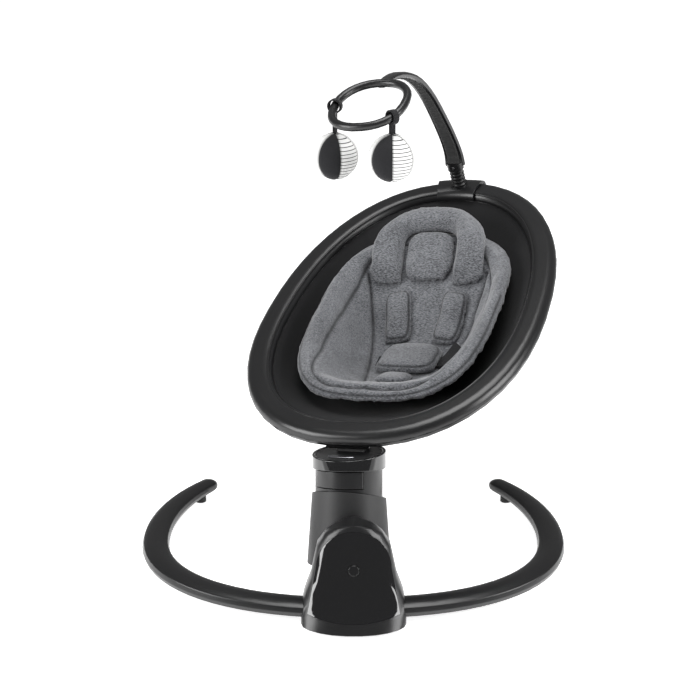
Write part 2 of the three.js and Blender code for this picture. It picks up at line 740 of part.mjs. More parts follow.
const ringOutline = (drawn, count) =>
  ringTurns(count).map((turn) => ringPoint(turn, drawn).at.toArray());

// A band right round the seat, from a section given as [inset, height] pairs.
function ringBand(section, count) {
  const rings = ringTurns(count).map((turn) =>
    section.map(([drawn, height]) => {
      const { at } = ringPoint(turn, drawn);
      return [at.x, at.y, height];
    }),
  );
  return loft(rings, true);
}

const lipTop = lip.height / 2 - 8;
const lipFoot = lipTop - lip.height;

function lipSection(crown, base, steps) {
  const arc = Array.from({ length: steps + 1 }, (_, i) => {
    const turn = (Math.PI * i) / steps;
    const across = lip.width / 2 - (lip.width / 2) * signedPow(Math.cos(turn), 0.85);
    return [across, base + (crown - base) * Math.sin(turn) ** 0.8];
  });
  return arc;
}

const ringLip = () => ringBand(lipSection(lipTop, lip.split + lip.join / 2, 7), 56);
const ringUnder = () => ringBand(lipSection(lipFoot, lip.split - lip.join / 2, 6), 48);

// How far out a point lies between the ring's middle (0) and the bowl's edge (1).
function bowlShare(x, y) {
  const half = ring.halfLength - lip.width;
  const side = (ring.halfWidth - lip.width) * (1 - (ring.taper * y) / ring.halfLength);
  const n = ring.squareness;
  return Math.min(1, ((Math.abs(y) / half) ** n + (Math.abs(x) / side) ** n) ** (1 / n));
}

function bowlTop(x, y) {
  const seat = Math.exp(-(((y - bowl.seatAt) / bowl.seatSpread) ** 2));
  const depth = mix(bowl.head, bowl.seat, seat);
  return bowl.rim - depth * (1 - bowlShare(x, y) ** bowl.power);
}

function fabricBowl() {
  const outline = ringOutline(lip.width + 0.6, 36);
  const steps = [0.25, 0.48, 0.68, 0.85, 1];
  return dish(outline, [0, 0], steps, bowlTop, (x, y) => bowlTop(x, y) - bowl.thickness);
}

// The seat insert's middle line: feet, seat, back and head.
const insertLine = new THREE.SplineCurve(
  [
    [-240, 2], [-195, -22], [-140, -58], [-90, -80], [-30, -92], [20, -85],
    [60, -60], [100, -34], [150, -12], [215, 8], [300, 26],
  ].map(([y, z]) => new THREE.Vector2(y, z)),
).getPoints(120);

function middleHeight(y) {
  const next = Math.max(1, insertLine.findIndex((p) => p.x >= y));
  const [a, b] = [insertLine[next - 1], insertLine[next]];
  return mix(a.y, b.y, clamp01((y - a.x) / (b.x - a.x)));
}

// The insert's outline is a superellipse whose two ends differ.
function insertHalfWidth(y) {
  const power = y > insert.centre ? insertPower.head : insertPower.foot;
  const share = Math.min(1, Math.abs(y - insert.centre) / (insert.length / 2));
  return insert.halfWidth * (1 - share ** power) ** (1 / power);
}

function insertOutline(count) {
  return Array.from({ length: count }, (_, i) => {
    const turn = (2 * Math.PI * (i + 0.5)) / count;
    const power = Math.cos(turn) > 0 ? insertPower.head : insertPower.foot;
    const y = insert.centre + (insert.length / 2) * signedPow(Math.cos(turn), 2 / power);
    return [insert.halfWidth * signedPow(Math.sin(turn), 2 / power), y];
  });
}

// How far up its wing a point is: 0 on the flat strip, 1 on the padded rim.
function wingShare(x, y) {
  const strip = insert.strip + 0.24 * y;
  const edge = insertHalfWidth(y);
  return clamp01((Math.abs(x) - strip) / Math.max(12, edge - insert.roll / 2 - strip));
}

function insertTop(x, y, r = 0) {
  const rise = smooth(Math.max(wingShare(x, y), (r - 0.7) / 0.2));
  const edge = 9 * (1 - Math.sqrt(1 - clamp01((r - 0.93) / 0.07) ** 2));
  return mix(middleHeight(y), Math.max(insert.rim, middleHeight(y)), rise) - edge;
}

function insertFoot(x, y, r) {
  const hollow = insertTop(x, y, Math.min(r, 0.9)) - insert.padding;
  return Math.max(hollow, bowlTop(x, y) + 2.5);
}

function insertPad() {
  const steps = [0.2, 0.4, 0.55, 0.7, 0.82, 0.91, 0.97, 1];
  return dish(insertOutline(36), [0, insert.centre], steps, insertTop, insertFoot);
}

const insertReach = (x, y) => {
  const power = y > insert.centre ? insertPower.head : insertPower.foot;
  const long = Math.abs(y - insert.centre) / (insert.length / 2);
  return (long ** power + (Math.abs(x) / insert.halfWidth) ** power) ** (1 / power);
};

const cushionGap = 3.8; // under a loose pad, whose facets and the insert's don't match

// What a loose pad lies on: the insert, or its rim carried on past its edge.
function padRest(x, y) {
  const r = Math.min(0.92, insertReach(x, y));
  return insertTop(x, y, r) + cushionGap;
}

const crown = (share, power = 2.5) => (1 - clamp01(share) ** power) ** (1 / power);

// A cushion with a superellipse outline, lying on the insert and turned about its middle.
function cushion(centre, halfX, halfY, height, turn = 0, power = 4) {
  const [c, s] = [Math.cos(turn), Math.sin(turn)];
  const outline = oval(halfX, halfY, power, 22).map(([x, y]) => [
    centre[0] + c * x - s * y,
    centre[1] + s * x + c * y,
  ]);
  const top = (x, y, r) => padRest(x, y) + height * (0.3 + 0.7 * crown(r));
  return dish(outline, centre, [0.45, 0.78, 0.93, 1], top, padRest);
}

// The pillow's inner edge: up one side of the inset, over its head and down the other.
function pillowInner(u) {
  const halfX = inset.halfWidth + inset.clearance;
  const halfY = inset.halfLength + inset.clearance;
  const side = 0.25; // share of the edge that runs straight up each side
  if (u < side) return [-halfX, mix(pillow.foot, inset.centre, u / side)];
  if (u > 1 - side) return [halfX, mix(inset.centre, pillow.foot, (u - 1 + side) / side)];
  const turn = Math.PI * (1 - (u - side) / (1 - 2 * side));
  const x = halfX * signedPow(Math.cos(turn), 2 / inset.power);
  return [x, inset.centre + halfY * signedPow(Math.sin(turn), 2 / inset.power)];
}

function headPillow() {
  const plan = (u, v) => {
    const turn = Math.PI * (1 - u);
    const up = Math.max(0, Math.sin(turn));
    const [innerX, innerY] = pillowInner(u);
    const outerX = pillow.halfWidth * signedPow(Math.cos(turn), 0.75);
    const outerY = mix(pillow.foot, pillow.head, up ** 0.75) + pillow.cornerRise * v ** 4 * (1 - up) ** 8;
    return [mix(innerX, outerX, v), mix(innerY, outerY, v)];
  };
  const top = (x, y, u, v) => {
    const round = crown(Math.abs(2 * v - 1)) * crown(Math.abs(2 * u - 1), 10);
    return padRest(x, y) + pillow.height * (0.25 + 0.75 * round);
  };
  return slab(20, 6, plan, top, padRest);
}

const pillowInset = () =>
  cushion([0, inset.centre], inset.halfWidth, inset.halfLength, inset.thickness, 0, inset.power);

function shoulderPad(side) {
  const centre = [harness.aside + side * shoulder.at, shoulder.middle];
  const turn = -side * rad(shoulder.splay);
  return cushion(centre, shoulder.width / 2, shoulder.length / 2, shoulder.thickness, turn, 5);
}

const strapPad = (pad) =>
  cushion([harness.aside, pad.middle], pad.width / 2, pad.length / 2, pad.thickness);

// A flat webbing band along a line, standing a little off the surface below it.
function webbing(line, rest, count) {
  const curve = new THREE.CatmullRomCurve3(line.map(([x, y]) => new THREE.Vector3(x, y, rest(x, y))));
  const points = curve.getPoints(count);
  const stations = points.map((at, i) => {
    const along = points[Math.min(i + 1, count)].clone().sub(points[Math.max(i - 1, 0)]).normalize();
    const side = new THREE.Vector3(along.y, -along.x, 0).normalize();
    return { at, side, up: side.clone().cross(along), half: [strap.width / 2, strap.thickness / 2] };
  });
  return sweep(stations, 5, 12);
}

// ---- Toy bar, in the frame of its stub: +Z up the stub, -Y over the seat ----

const barLine = new THREE.CatmullRomCurve3(
  [
    [1, 37], [4, 54], [1, 76], [-11, 114], [-29, 158],
    [-48, 199], [-70, 234], [-96, 264], [-126, 288], [-160, 308], [-192, 320], [-219, 326],
  ].map(([y, z]) => new THREE.Vector3(0, y, z)),
);
const toyRingCentre = [0, -278, 328];

function barStub() {
  const profile = [new THREE.Vector2(0, gap), new THREE.Vector2(stub.radius + 2, gap)];
  const step = (stub.height - 4) / stub.ribs;
  for (let i = 0; i < stub.ribs; i++) {
    const z = 2.5 + i * step;
    profile.push(new THREE.Vector2(stub.radius + 2, z), new THREE.Vector2(stub.radius, z + 0.6));
    profile.push(new THREE.Vector2(stub.radius, z + step - 0.8));
    profile.push(new THREE.Vector2(stub.radius + 1.4, z + step - 0.4));
  }
  profile.push(new THREE.Vector2(stub.radius, stub.height), new THREE.Vector2(0, stub.height));
  return new THREE.LatheGeometry(profile, 16).rotateX(Math.PI / 2);
}

function toyBar() {
  const count = 20;
  const stations = Array.from({ length: count + 1 }, (_, i) => {
    const t = i / count;
    const along = barLine.getTangent(t);
    const side = new THREE.Vector3(1, 0, 0);
    const half = [mix(bar.width, bar.tipWidth, t) / 2, mix(bar.thickness, bar.tipThickness, t) / 2];
    return { at: barLine.getPoint(t), side, up: side.clone().cross(along), half };
  });
  const hub = rod(stub.radius + 3, stub.height + gap, stub.height + 14, { sides: 24 });
  const screwRoom = rod(3.4, 0, 12, { sides: 16 }).rotateX(Math.PI / 2).translate(0, -4, stub.height + 8);
  return cut(join(hub, sweep(stations, 3, 10)), ringTube(toyRing.radius + gap), screwRoom);
}

const barScrew = () =>
  rod(3, 0, 8, { sides: 16 }).rotateX(Math.PI / 2).translate(0, -4.4, stub.height + 8);

function toyRingPlace(turn) {
  const [cx, cy, cz] = toyRingCentre;
  const x = (toyRing.width / 2) * signedPow(Math.cos(turn), 0.88);
  const y = (toyRing.length / 2) * signedPow(Math.sin(turn), 0.88);
  return new THREE.Vector3(cx + x, cy + y, cz);
}

function toyRingAlong(turn) {
  return toyRingPlace(turn + 0.02).sub(toyRingPlace(turn - 0.02)).normalize();
}

function ringTube(radius) {
  const count = 32;
  const stations = Array.from({ length: count }, (_, i) => {
    const turn = (2 * Math.PI * (i + 0.5)) / count;
    const up = new THREE.Vector3(0, 0, 1);
    return { at: toyRingPlace(turn), side: toyRingAlong(turn).cross(up), up, half: [radius, radius] };
  });
  return sweep(stations, 2, 8, true);
}

// A saddle over the head end of the ring's lip, which carries the stub.
function barClip() {
  const around = (grow) => {
    const turns = Array.from({ length: 9 }, (_, i) => mix(-clip.reach, clip.reach, i / 8));
    return loft(
      turns.map((turn) =>
        oval(lip.width / 2 + grow, lip.height / 2 + grow, 2.6, 18).map(([across, up]) => {
          const spread = grow > clip.clearance ? 1 : 1.3;
          const { at } = ringPoint(clip.aside + turn * spread, lip.width / 2 + across);
          return [at.x, at.y, lipTop - lip.height / 2 + up];
        }),
      ),
    );
  };
  const under = block(-90, 90, 200, 400, -60, lip.split + 3);
  const seat = rod(stub.radius + 4, lipTop - 2, stubFoot, { x: stubPlace.x, y: stubPlace.y, sides: 24 });
  return cut(join(around(clip.wall + clip.clearance), seat), around(clip.clearance), under);
}

const stubPlace = ringPoint(clip.aside, lip.width / 2).at;
const stubFoot = lipTop + clip.wall + 2.5;

// ---- Seat bracket and harness ----

function seatBracket() {
  const [y, z] = [hang.insideFoot - ring.halfLength, -hang.abovePin];
  const grown = ringBand(
    oval(lip.width / 2 + 2 * gap, lip.height / 2 + 2 * gap, 2.7, 20).map(([across, up]) => [
      lip.width / 2 + across,
      lipTop - lip.height / 2 + up,
    ]),
    72,
  );
  const saddle = block(-34, 34, y - 24, y + 9, z + pin.eye + 0.6, -12);
  const lug = join(
    block(-13.6, 13.6, y - pin.eye, y + pin.eye, z, -14),
    crossRod(pin.eye, 27.2, y, z),
  );
  return cut(join(saddle, lug), grown, crossRod(pin.radius + pin.clearance, 60, y, z));
}

const buckleFloor = Math.max(middleHeight(waist.middle - 20), middleHeight(waist.middle + 20)) + 1.4;

const buckleAt = { x: harness.aside, y: waist.middle };

function buckleBody() {
  const body = roundedPlate(buckle.width, buckle.length, 3, buckle.height, 5, 28)
    .translate(harness.aside, waist.middle, buckleFloor);
  const top = buckleFloor + buckle.height;
  const well = rod(buckle.button / 2 + gap, top - 5, top + 5, { ...buckleAt, sides: 24 });
  return cut(body, well);
}

function buckleButton() {
  const top = buckleFloor + buckle.height;
  return rod(buckle.button / 2, top - 5 + buckle.travel + 0.3, top + 1, { ...buckleAt, sides: 24 });
}

// The waist pad folds over the buckle, so its underside is hollow there and at the webbing.
function waistCover() {
  const [w, l] = [buckle.width / 2 + 1.5, buckle.length / 2 + 1.5];
  const { x, y } = buckleAt;
  const floor = buckleFloor - 12;
  const room = block(x - w, x + w, y - l, y + l, floor, buckleFloor + buckle.height + 2);
  const halfSlot = strap.width / 2 + 1.5;
  const half = waist.width;
  const slot = block(-half, half, y - halfSlot, y + halfSlot, floor, buckleFloor + strap.thickness + 3);
  return cut(strapPad(waist), room, slot);
}

function waistStrap(side) {
  const rest = (x, y) => {
    const under = [-1, 0, 1].map((k) => padRest(Math.abs(x) + 7, y + (k * strap.width) / 2) + gap);
    return Math.max(...under, buckleFloor) + strap.thickness / 2;
  };
  const from = buckle.width / 2 + gap;
  const reach = side > 0 ? strap.reachRight : strap.reachLeft;
  const under = waist.width / 2 + 3; // as far as the pad covers it
  const line = [from, mix(from, under, 0.5), under].map((out) => [out, waist.middle]);
  if (reach > 10) line.push([under + 0.5 * reach, waist.middle + 0.35 * strap.rise]);
  if (reach > 10) line.push([under + reach, waist.middle + strap.rise]);
  return webbing(line.map(([out, y]) => [harness.aside + side * out, y]), rest, 10);
}

// ---- Hanging toys, placed upright in the part's own frame ----

function toyPlace(degrees) {
  const turn = rad(degrees);
  const at = toyRingPlace(turn).applyMatrix4(toyMatrix);
  const along = toyRingAlong(turn).transformDirection(toyMatrix);
  const swing = new THREE.Vector3(along.x, along.y, 0).normalize();
  if (swing.y < 0) swing.negate();
  return { at, swing };
}

// A strap looped over the ring, in its own frame: the ring runs along y through the origin.
function toyStrap(drop) {
  const half = toy.strapWidth / 2;
  const room = toyRing.radius + toy.loop;
  const loop = join(
    rod(room + toy.strapThickness, -half, half, { sides: 24 }).rotateX(Math.PI / 2),
    block(-toy.strapThickness, toy.strapThickness, -half, half, toy.ball - drop + gap - 0.2, -room),
  );
  return cut(loop, rod(room, -half - 1, half + 1, { sides: 20 }).rotateX(Math.PI / 2));
}

const toyBall = (drop) =>
  new THREE.SphereGeometry(toy.ball, 18, 12).rotateX(Math.PI / 2).translate(0, 0, -drop);

// ---- Assembly ----

const part = new THREE.Group();
part.position.y = -pad0.y;

const place = (parent, matrix) => {
  const group = new THREE.Group();
  group.applyMatrix4(matrix);
  parent.add(group);
  return group;
};

const swayTurn = new THREE.Matrix4().makeRotationZ(-rad(pose.sway));
const seatTurn = new THREE.Matrix4().makeRotationX(rad(pose.axisLean + pose.recline));
const ringShift = new THREE.Matrix4().makeTranslation(0, ring.halfLength - hang.insideFoot, hang.abovePin);
const stubShift = new THREE.Matrix4().makeTranslation(stubPlace.x, stubPlace.y, stubFoot);
const armMatrix = axisMatrix.clone().multiply(swayTurn);
const toyMatrix = armMatrix.clone().multiply(seatTurn).multiply(ringShift).multiply(stubShift);

const tilted = place(part, axisMatrix);
const arm = place(tilted, swayTurn);
const cradle = place(arm, seatTurn.clone().multiply(ringShift));
const toys = place(cradle, stubShift);

part.add(
  piece("base_housing", baseHousing(), "satin"),
  piece("front_panel", frontPanel(), "gloss"),
  piece("base_cover", baseCover(), "matte"),
  piece("rest_pad", footPad(pad.radius, 0, pad0.y), "rubber"),
  piece("nose_pad", footPad(pad.noseRadius, 0, 22), "rubber"),
  piece("pivot_column", pivotColumn(), "matte"),
  piece("power_button", powerButton(), "gloss"),
  piece("button_switch", faceBox(5, button.height, 10, -11.6, -9.1), "nylon"),
  piece("circuit_board", faceBox(26, 0.46 * tower.height, 0.54 * tower.height, -13.6, -12), "board"),
  piece("speaker", speaker(), "matte"),
  piece("dc_inlet", dcInlet(), "matte"),
);
for (const [name, side] of [["left", -1], ["right", 1]]) {
  part.add(
    piece("base_tube_" + name, baseTube(side), "satin"),
    piece("tip_pad_" + name, tipPad(side), "rubber"),
  );
}
coverScrews.forEach(([x, y], i) => part.add(piece("cover_screw_" + (i + 1), coverScrew(x, y), "steel")));

const pinion = toothed(drive.pinionRadius, 9, drive.thickness - 1, motor.shaftRadius + 0.2);
pinion.translate(0, drive.pinionOffset, drive.level);
tilted.add(
  piece("pivot_shaft", pivotShaft(), "steel"),
  piece("shaft_nut", shaftNut(), "steel"),
  piece("gear_motor", gearMotor(), "steel"),
  piece("drive_pinion", pinion, "nylon"),
);

const gear = toothed(drive.gearRadius, 27, drive.thickness, shaft.radius + 1).translate(0, 0, drive.level);
arm.add(
  piece("arm_shell", armShell(), "matte"),
  piece("arm_collar", collarShell(), "satin"),
  piece("release_lever", releaseLever(), "satin"),
  piece("lever_spring", leverSpring(), "steel"),
  piece("hub_cap", hubCap(), "gloss"),
  piece("cap_lid", capLid(), "matte"),
  piece("hub_badge", hubBadge(), "badge"),
  piece("hub_post", hubPost(), "matte"),
  piece("recline_pin", reclinePin(), "steel"),
  piece("lower_bush", bush(bossFoot + 0.5), "nylon"),
  piece("upper_bush", bush(bossTop - bushing.length - 0.5), "nylon"),
  piece("drive_gear", gear, "nylon"),
);

cradle.add(
  piece("seat_bracket", seatBracket(), "satin"),
  piece("ring_lip", ringLip(), "satin"),
  piece("ring_under", ringUnder(), "satin"),
  piece("fabric_bowl", fabricBowl(), "mesh"),
  piece("insert_pad", insertPad(), "melange"),
  piece("head_pillow", headPillow(), "melange"),
  piece("pillow_inset", pillowInset(), "melange"),
  piece("waist_pad", waistCover(), "melange"),
  piece("crotch_pad", strapPad(crotch), "melange"),
  piece("buckle", buckleBody(), "matte"),
  piece("buckle_button", buckleButton(), "gloss"),
  piece("bar_clip", barClip(), "satin"),
);
for (const [name, side] of [["left", -1], ["right", 1]]) {
  cradle.add(
    piece("shoulder_pad_" + name, shoulderPad(side), "melange"),
    piece("waist_strap_" + name, waistStrap(side), "webbing"),
  );
}

toys.add(
  piece("bar_stub", barStub(), "satin"),
  piece("toy_bar", toyBar(), "satin"),
  piece("bar_screw", barScrew(), "steel"),
  piece("toy_ring", ringTube(toyRing.radius), "satin"),
);
for (const [name, { drop, turn }] of [["left", toyLeft], ["right", toyRight]]) {
  const { at, swing } = toyPlace(turn);
  const upright = new THREE.Matrix4().makeRotationZ(Math.atan2(-swing.x, swing.y)).setPosition(at);
  const hanging = place(part, upright);
  hanging.add(
    piece("toy_strap_" + name, toyStrap(drop), "webbing"),
    piece("toy_ball_" + name, toyBall(drop), "toy"),
  );
}

export default part;
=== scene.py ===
import json
import math

import bmesh
import bpy
import numpy as np
from mathutils import Matrix, Vector, noise
from mathutils.bvhtree import BVHTree


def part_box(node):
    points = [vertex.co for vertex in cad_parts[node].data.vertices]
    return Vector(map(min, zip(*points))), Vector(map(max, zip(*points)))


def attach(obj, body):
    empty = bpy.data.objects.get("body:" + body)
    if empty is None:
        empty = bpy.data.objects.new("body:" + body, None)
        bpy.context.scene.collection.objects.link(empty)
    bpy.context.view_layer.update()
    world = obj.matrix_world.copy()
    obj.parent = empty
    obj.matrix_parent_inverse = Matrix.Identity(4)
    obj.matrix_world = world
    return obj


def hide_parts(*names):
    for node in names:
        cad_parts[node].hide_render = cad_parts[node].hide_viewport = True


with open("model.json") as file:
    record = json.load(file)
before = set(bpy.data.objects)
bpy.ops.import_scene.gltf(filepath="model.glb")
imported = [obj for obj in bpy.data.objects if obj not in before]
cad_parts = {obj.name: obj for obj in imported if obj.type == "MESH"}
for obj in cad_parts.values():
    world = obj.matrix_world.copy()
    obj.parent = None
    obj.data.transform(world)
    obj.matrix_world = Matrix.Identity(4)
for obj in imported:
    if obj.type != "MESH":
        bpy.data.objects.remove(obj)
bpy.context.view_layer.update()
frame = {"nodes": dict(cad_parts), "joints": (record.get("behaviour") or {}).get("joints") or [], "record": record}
nodes = frame["nodes"]
joints = {joint["name"]: joint for joint in frame["joints"]}
print("frame loaded:", len(nodes), "nodes")


# Frames of reference, in metres, taken from the record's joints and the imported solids.

def unit(v):
    return np.array(v, float) / np.linalg.norm(v)


def verticesOf(name):
    return np.array([v.co for v in nodes[name].data.vertices], float)


seatUp = -unit(joints["buckle_button"]["axis"])
seatAcross = unit(joints["recline"]["axis"])
seatAlong = np.cross(seatUp, seatAcross)
seatAxes = np.array([seatAcross, seatAlong, seatUp])
lipPlaces = verticesOf("ring_lip") @ seatAxes.T
lipCrown = 0.006  # how far the lip's crown stands over the seat's plane
seatMiddle = np.array([
    (lipPlaces[:, 0].min() + lipPlaces[:, 0].max()) / 2,
    (lipPlaces[:, 1].min() + lipPlaces[:, 1].max()) / 2,
    lipPlaces[:, 2].max() - lipCrown,
]) @ seatAxes


def toSeat(points):
    return (np.atleast_2d(points) - seatMiddle) @ seatAxes.T


def fromSeat(points):
    return np.atleast_2d(points) @ seatAxes + seatMiddle


seatTurn = Matrix(seatAxes.tolist()).to_euler()  # turns the row frame's axes onto the seat's


# Mesh helpers.

def newMesh(name, points, faces, smooth=True):
    mesh = bpy.data.meshes.new(name)
    mesh.from_pydata([tuple(p) for p in points], [], [tuple(f) for f in faces])
    mesh.validate()
    mesh.update()
    if smooth:
        mesh.shade_smooth()
    return linked(bpy.data.objects.new(name, mesh))


def gridFaces(rows, columns, wrapRows=False, wrapColumns=False):
    faces = []
    for i in range(rows if wrapRows else rows - 1):
        for j in range(columns if wrapColumns else columns - 1):
            a, b = i * columns + j, i * columns + (j + 1) % columns
            c, d = ((i + 1) % rows) * columns + (j + 1) % columns, ((i + 1) % rows) * columns + j
            faces.append((a, b, c, d))
    return faces


def applyModifiers(piece):
    graph = bpy.context.evaluated_depsgraph_get()
    mesh = bpy.data.meshes.new_from_object(piece.evaluated_get(graph))
    piece.modifiers.clear()
    piece.data = mesh


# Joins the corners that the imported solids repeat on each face.
def addWeld(piece):
    weld = piece.modifiers.new("weld", "WELD")
    weld.merge_threshold = 0.00002


def addThickness(piece, thickness, offset):
    thick = piece.modifiers.new("thickness", "SOLIDIFY")
    thick.thickness = thickness
    thick.offset = offset
    applyModifiers(piece)


def coverWith(piece, material):
    piece.data.materials.clear()
    piece.data.materials.append(material)


# The seam marks say where the cloth shaders paint shade along the sewn grooves.
def markSeams(mesh, marks):
    mesh.attributes.new("seam", "FLOAT", "POINT").data.foreach_set("value", marks)


def linked(piece):
    bpy.context.scene.collection.objects.link(piece)
    return piece


def signedPow(values, power):
    return np.sign(values) * np.abs(values) ** power


def smoothStep(values):
    t = np.clip(values, 0, 1)
    return t * t * (3 - 2 * t)


# A round cord that closes on itself, lying in the seat's plane.
def loopCord(name, path, radius, sides):
    points = []
    for i, at in enumerate(path):
        along = unit(path[(i + 1) % len(path)] - path[i - 1])
        side = unit(np.cross(along, seatUp + np.array([1e-4, 0, 0])))
        up = np.cross(side, along)
        for k in range(sides):
            turn = 2 * math.pi * k / sides
            points.append(at + radius * (math.cos(turn) * side + math.sin(turn) * up))
    return newMesh(name, points, gridFaces(len(path), sides, wrapRows=True, wrapColumns=True))


# Node groups that several materials share.

def nodeGroup(name, inputs, outputs):
    group = bpy.data.node_groups.new(name, "ShaderNodeTree")
    for socketName, kind, value in inputs:
        socket = group.interface.new_socket(name=socketName, in_out="INPUT", socket_type=kind)
        socket.default_value = value
    for socketName, kind in outputs:
        group.interface.new_socket(name=socketName, in_out="OUTPUT", socket_type=kind)
    return group, group.nodes.new("NodeGroupInput"), group.nodes.new("NodeGroupOutput")


def mathNode(tree, operation, a, b=None, c=None):
    made = tree.nodes.new("ShaderNodeMath")
    made.operation = operation
    for socket, value in zip(made.inputs, (a, b, c)):
        if value is None:
            continue
        if isinstance(value, (int, float)):
            socket.default_value = value
        else:
            tree.links.new(value, socket)
    return made.outputs[0]


def mixNode(tree, factor, first, second, blend="MIX"):
    made = tree.nodes.new("ShaderNodeMix")
    made.data_type = "RGBA"
    made.blend_type = blend
    for index, value in ((0, factor), (6, first), (7, second)):
        if isinstance(value, (int, float)):
            made.inputs[index].default_value = value
        elif isinstance(value, tuple):
            made.inputs[index].default_value = value
        else:
            tree.links.new(value, made.inputs[index])
    return made.outputs[2]


def rampNode(tree, value, low, high):
    made = tree.nodes.new("ShaderNodeMapRange")
    made.interpolation_type = "SMOOTHSTEP"
    tree.links.new(value, made.inputs["Value"])
    made.inputs["From Min"].default_value = low
    made.inputs["From Max"].default_value = high
    return made.outputs["Result"]


def noiseNode(tree, vector, scale, detail=2.0, roughness=0.5):
    made = tree.nodes.new("ShaderNodeTexNoise")
    tree.links.new(vector, made.inputs["Vector"])
    made.inputs["Scale"].default_value = scale
    made.inputs["Detail"].default_value = detail
    made.inputs["Roughness"].default_value = roughness
    return made.outputs["Fac"]


# A place in the piece's own metres, turned first and then scaled.
def placeNode(tree, scale=(1, 1, 1), turn=(0, 0, 0)):
    place = tree.nodes.new("ShaderNodeTexCoord").outputs["Object"]
    for socketName, value in (("Rotation", turn), ("Scale", scale)):
        mapping = tree.nodes.new("ShaderNodeMapping")
        mapping.inputs[socketName].default_value = value
        tree.links.new(place, mapping.inputs["Vector"])
        place = mapping.outputs["Vector"]
    return place


def buildEdgeWear():
    group, start, end = nodeGroup(
        "edge wear",
        [("Radius", "NodeSocketFloat", 0.0012), ("Amount", "NodeSocketFloat", 0.5)],
        [("Mask", "NodeSocketFloat")],
    )
    bevel = group.nodes.new("ShaderNodeBevel")
    bevel.samples = 4
    group.links.new(start.outputs["Radius"], bevel.inputs["Radius"])
    geometry = group.nodes.new("ShaderNodeNewGeometry")
    turn = group.nodes.new("ShaderNodeVectorMath")
    turn.operation = "DOT_PRODUCT"
    group.links.new(bevel.outputs["Normal"], turn.inputs[0])
    group.links.new(geometry.outputs["Normal"], turn.inputs[1])
    edge = mathNode(group, "SUBTRACT", 1.0, turn.outputs["Value"])
    edge = rampNode(group, edge, 0.02, 0.25)
    patches = noiseNode(group, placeNode(group), 90, 4, 0.6)
    patches = rampNode(group, patches, 0.42, 0.62)
    worn = mathNode(group, "MULTIPLY", edge, patches)
    worn = mathNode(group, "MULTIPLY", worn, start.outputs["Amount"])
    group.links.new(worn, end.inputs["Mask"])
    return group


def buildMouldedSkin():
    group, start, end = nodeGroup(
        "moulded skin",
        [
            ("Grain Scale", "NodeSocketFloat", 1500.0),
            ("Base Roughness", "NodeSocketFloat", 0.4),
            ("Smudge", "NodeSocketFloat", 0.08),
        ],
        [("Roughness", "NodeSocketFloat"), ("Height", "NodeSocketFloat"), ("Shade", "NodeSocketFloat")],
    )
    place = placeNode(group)
    grain = group.nodes.new("ShaderNodeTexNoise")
    group.links.new(place, grain.inputs["Vector"])
    group.links.new(start.outputs["Grain Scale"], grain.inputs["Scale"])
    grain.inputs["Detail"].default_value = 3
    smudges = noiseNode(group, place, 14, 4, 0.55)
    smudges = mathNode(group, "SUBTRACT", smudges, 0.5)
    smudges = mathNode(group, "MULTIPLY", smudges, start.outputs["Smudge"])
    rough = mathNode(group, "ADD", start.outputs["Base Roughness"], smudges)
    group.links.new(rough, end.inputs["Roughness"])
    group.links.new(grain.outputs["Fac"], end.inputs["Height"])
    shade = noiseNode(group, place, 5, 3, 0.5)
    group.links.new(shade, end.inputs["Shade"])
    return group


def buildWeave():
    group, start, end = nodeGroup(
        "woven cloth",
        [("Threads", "NodeSocketFloat", 900.0), ("Slub", "NodeSocketFloat", 0.4)],
        [("Height", "NodeSocketFloat"), ("Thread Mask", "NodeSocketFloat")],
    )
    place = placeNode(group, turn=seatTurn)
    parts = group.nodes.new("ShaderNodeSeparateXYZ")
    group.links.new(place, parts.inputs["Vector"])
    waves = []
    for axis in ("X", "Y"):
        turned = mathNode(group, "MULTIPLY", parts.outputs[axis], start.outputs["Threads"])
        turned = mathNode(group, "MULTIPLY", turned, 2 * math.pi)
        waves.append(mathNode(group, "SINE", turned))
    weave = mathNode(group, "MULTIPLY", waves[0], waves[1])
    slub = noiseNode(group, place, 260, 3, 0.6)
    slub = mathNode(group, "MULTIPLY", slub, start.outputs["Slub"])
    height = mathNode(group, "MULTIPLY_ADD", weave, 0.25, slub)
    group.links.new(height, end.inputs["Height"])
    group.links.new(rampNode(group, weave, -0.4, 0.8), end.inputs["Thread Mask"])
    return group


def buildHeather():
    group, start, end = nodeGroup(
        "heather knit",
        [
            ("Light Yarn", "NodeSocketColor", (0.25, 0.25, 0.26, 1)),
            ("Dark Yarn", "NodeSocketColor", (0.05, 0.05, 0.055, 1)),
        ],
        [("Color", "NodeSocketColor"), ("Height", "NodeSocketFloat")],
    )
    rows = placeNode(group, scale=(240, 1050, 420), turn=seatTurn)
    dashes = noiseNode(group, rows, 1, 2.5, 0.55)
    fine = noiseNode(group, placeNode(group, scale=(520, 1900, 1900), turn=seatTurn), 1, 2, 0.6)
    clouds = noiseNode(group, placeNode(group), 22, 3, 0.5)
    blendOf = mathNode(group, "MULTIPLY_ADD", fine, 0.4, mathNode(group, "MULTIPLY", dashes, 0.8))
    blendOf = mathNode(group, "MULTIPLY_ADD", clouds, 0.16, blendOf)
    yarn = rampNode(group, blendOf, 0.5, 0.86)
    group.links.new(
        mixNode(group, yarn, start.outputs["Dark Yarn"], start.outputs["Light Yarn"]), end.inputs["Color"]
    )
    group.links.new(blendOf, end.inputs["Height"])
    return group


shared = {
    "wear": buildEdgeWear(),
    "skin": buildMouldedSkin(),
    "weave": buildWeave(),
    "heather": buildHeather(),
}
print("shared node groups built")


# Materials.

def newMaterial(name):
    material = bpy.data.materials.new(name)
    material.use_nodes = True
    tree = material.node_tree
    return material, tree, tree.nodes["Principled BSDF"]


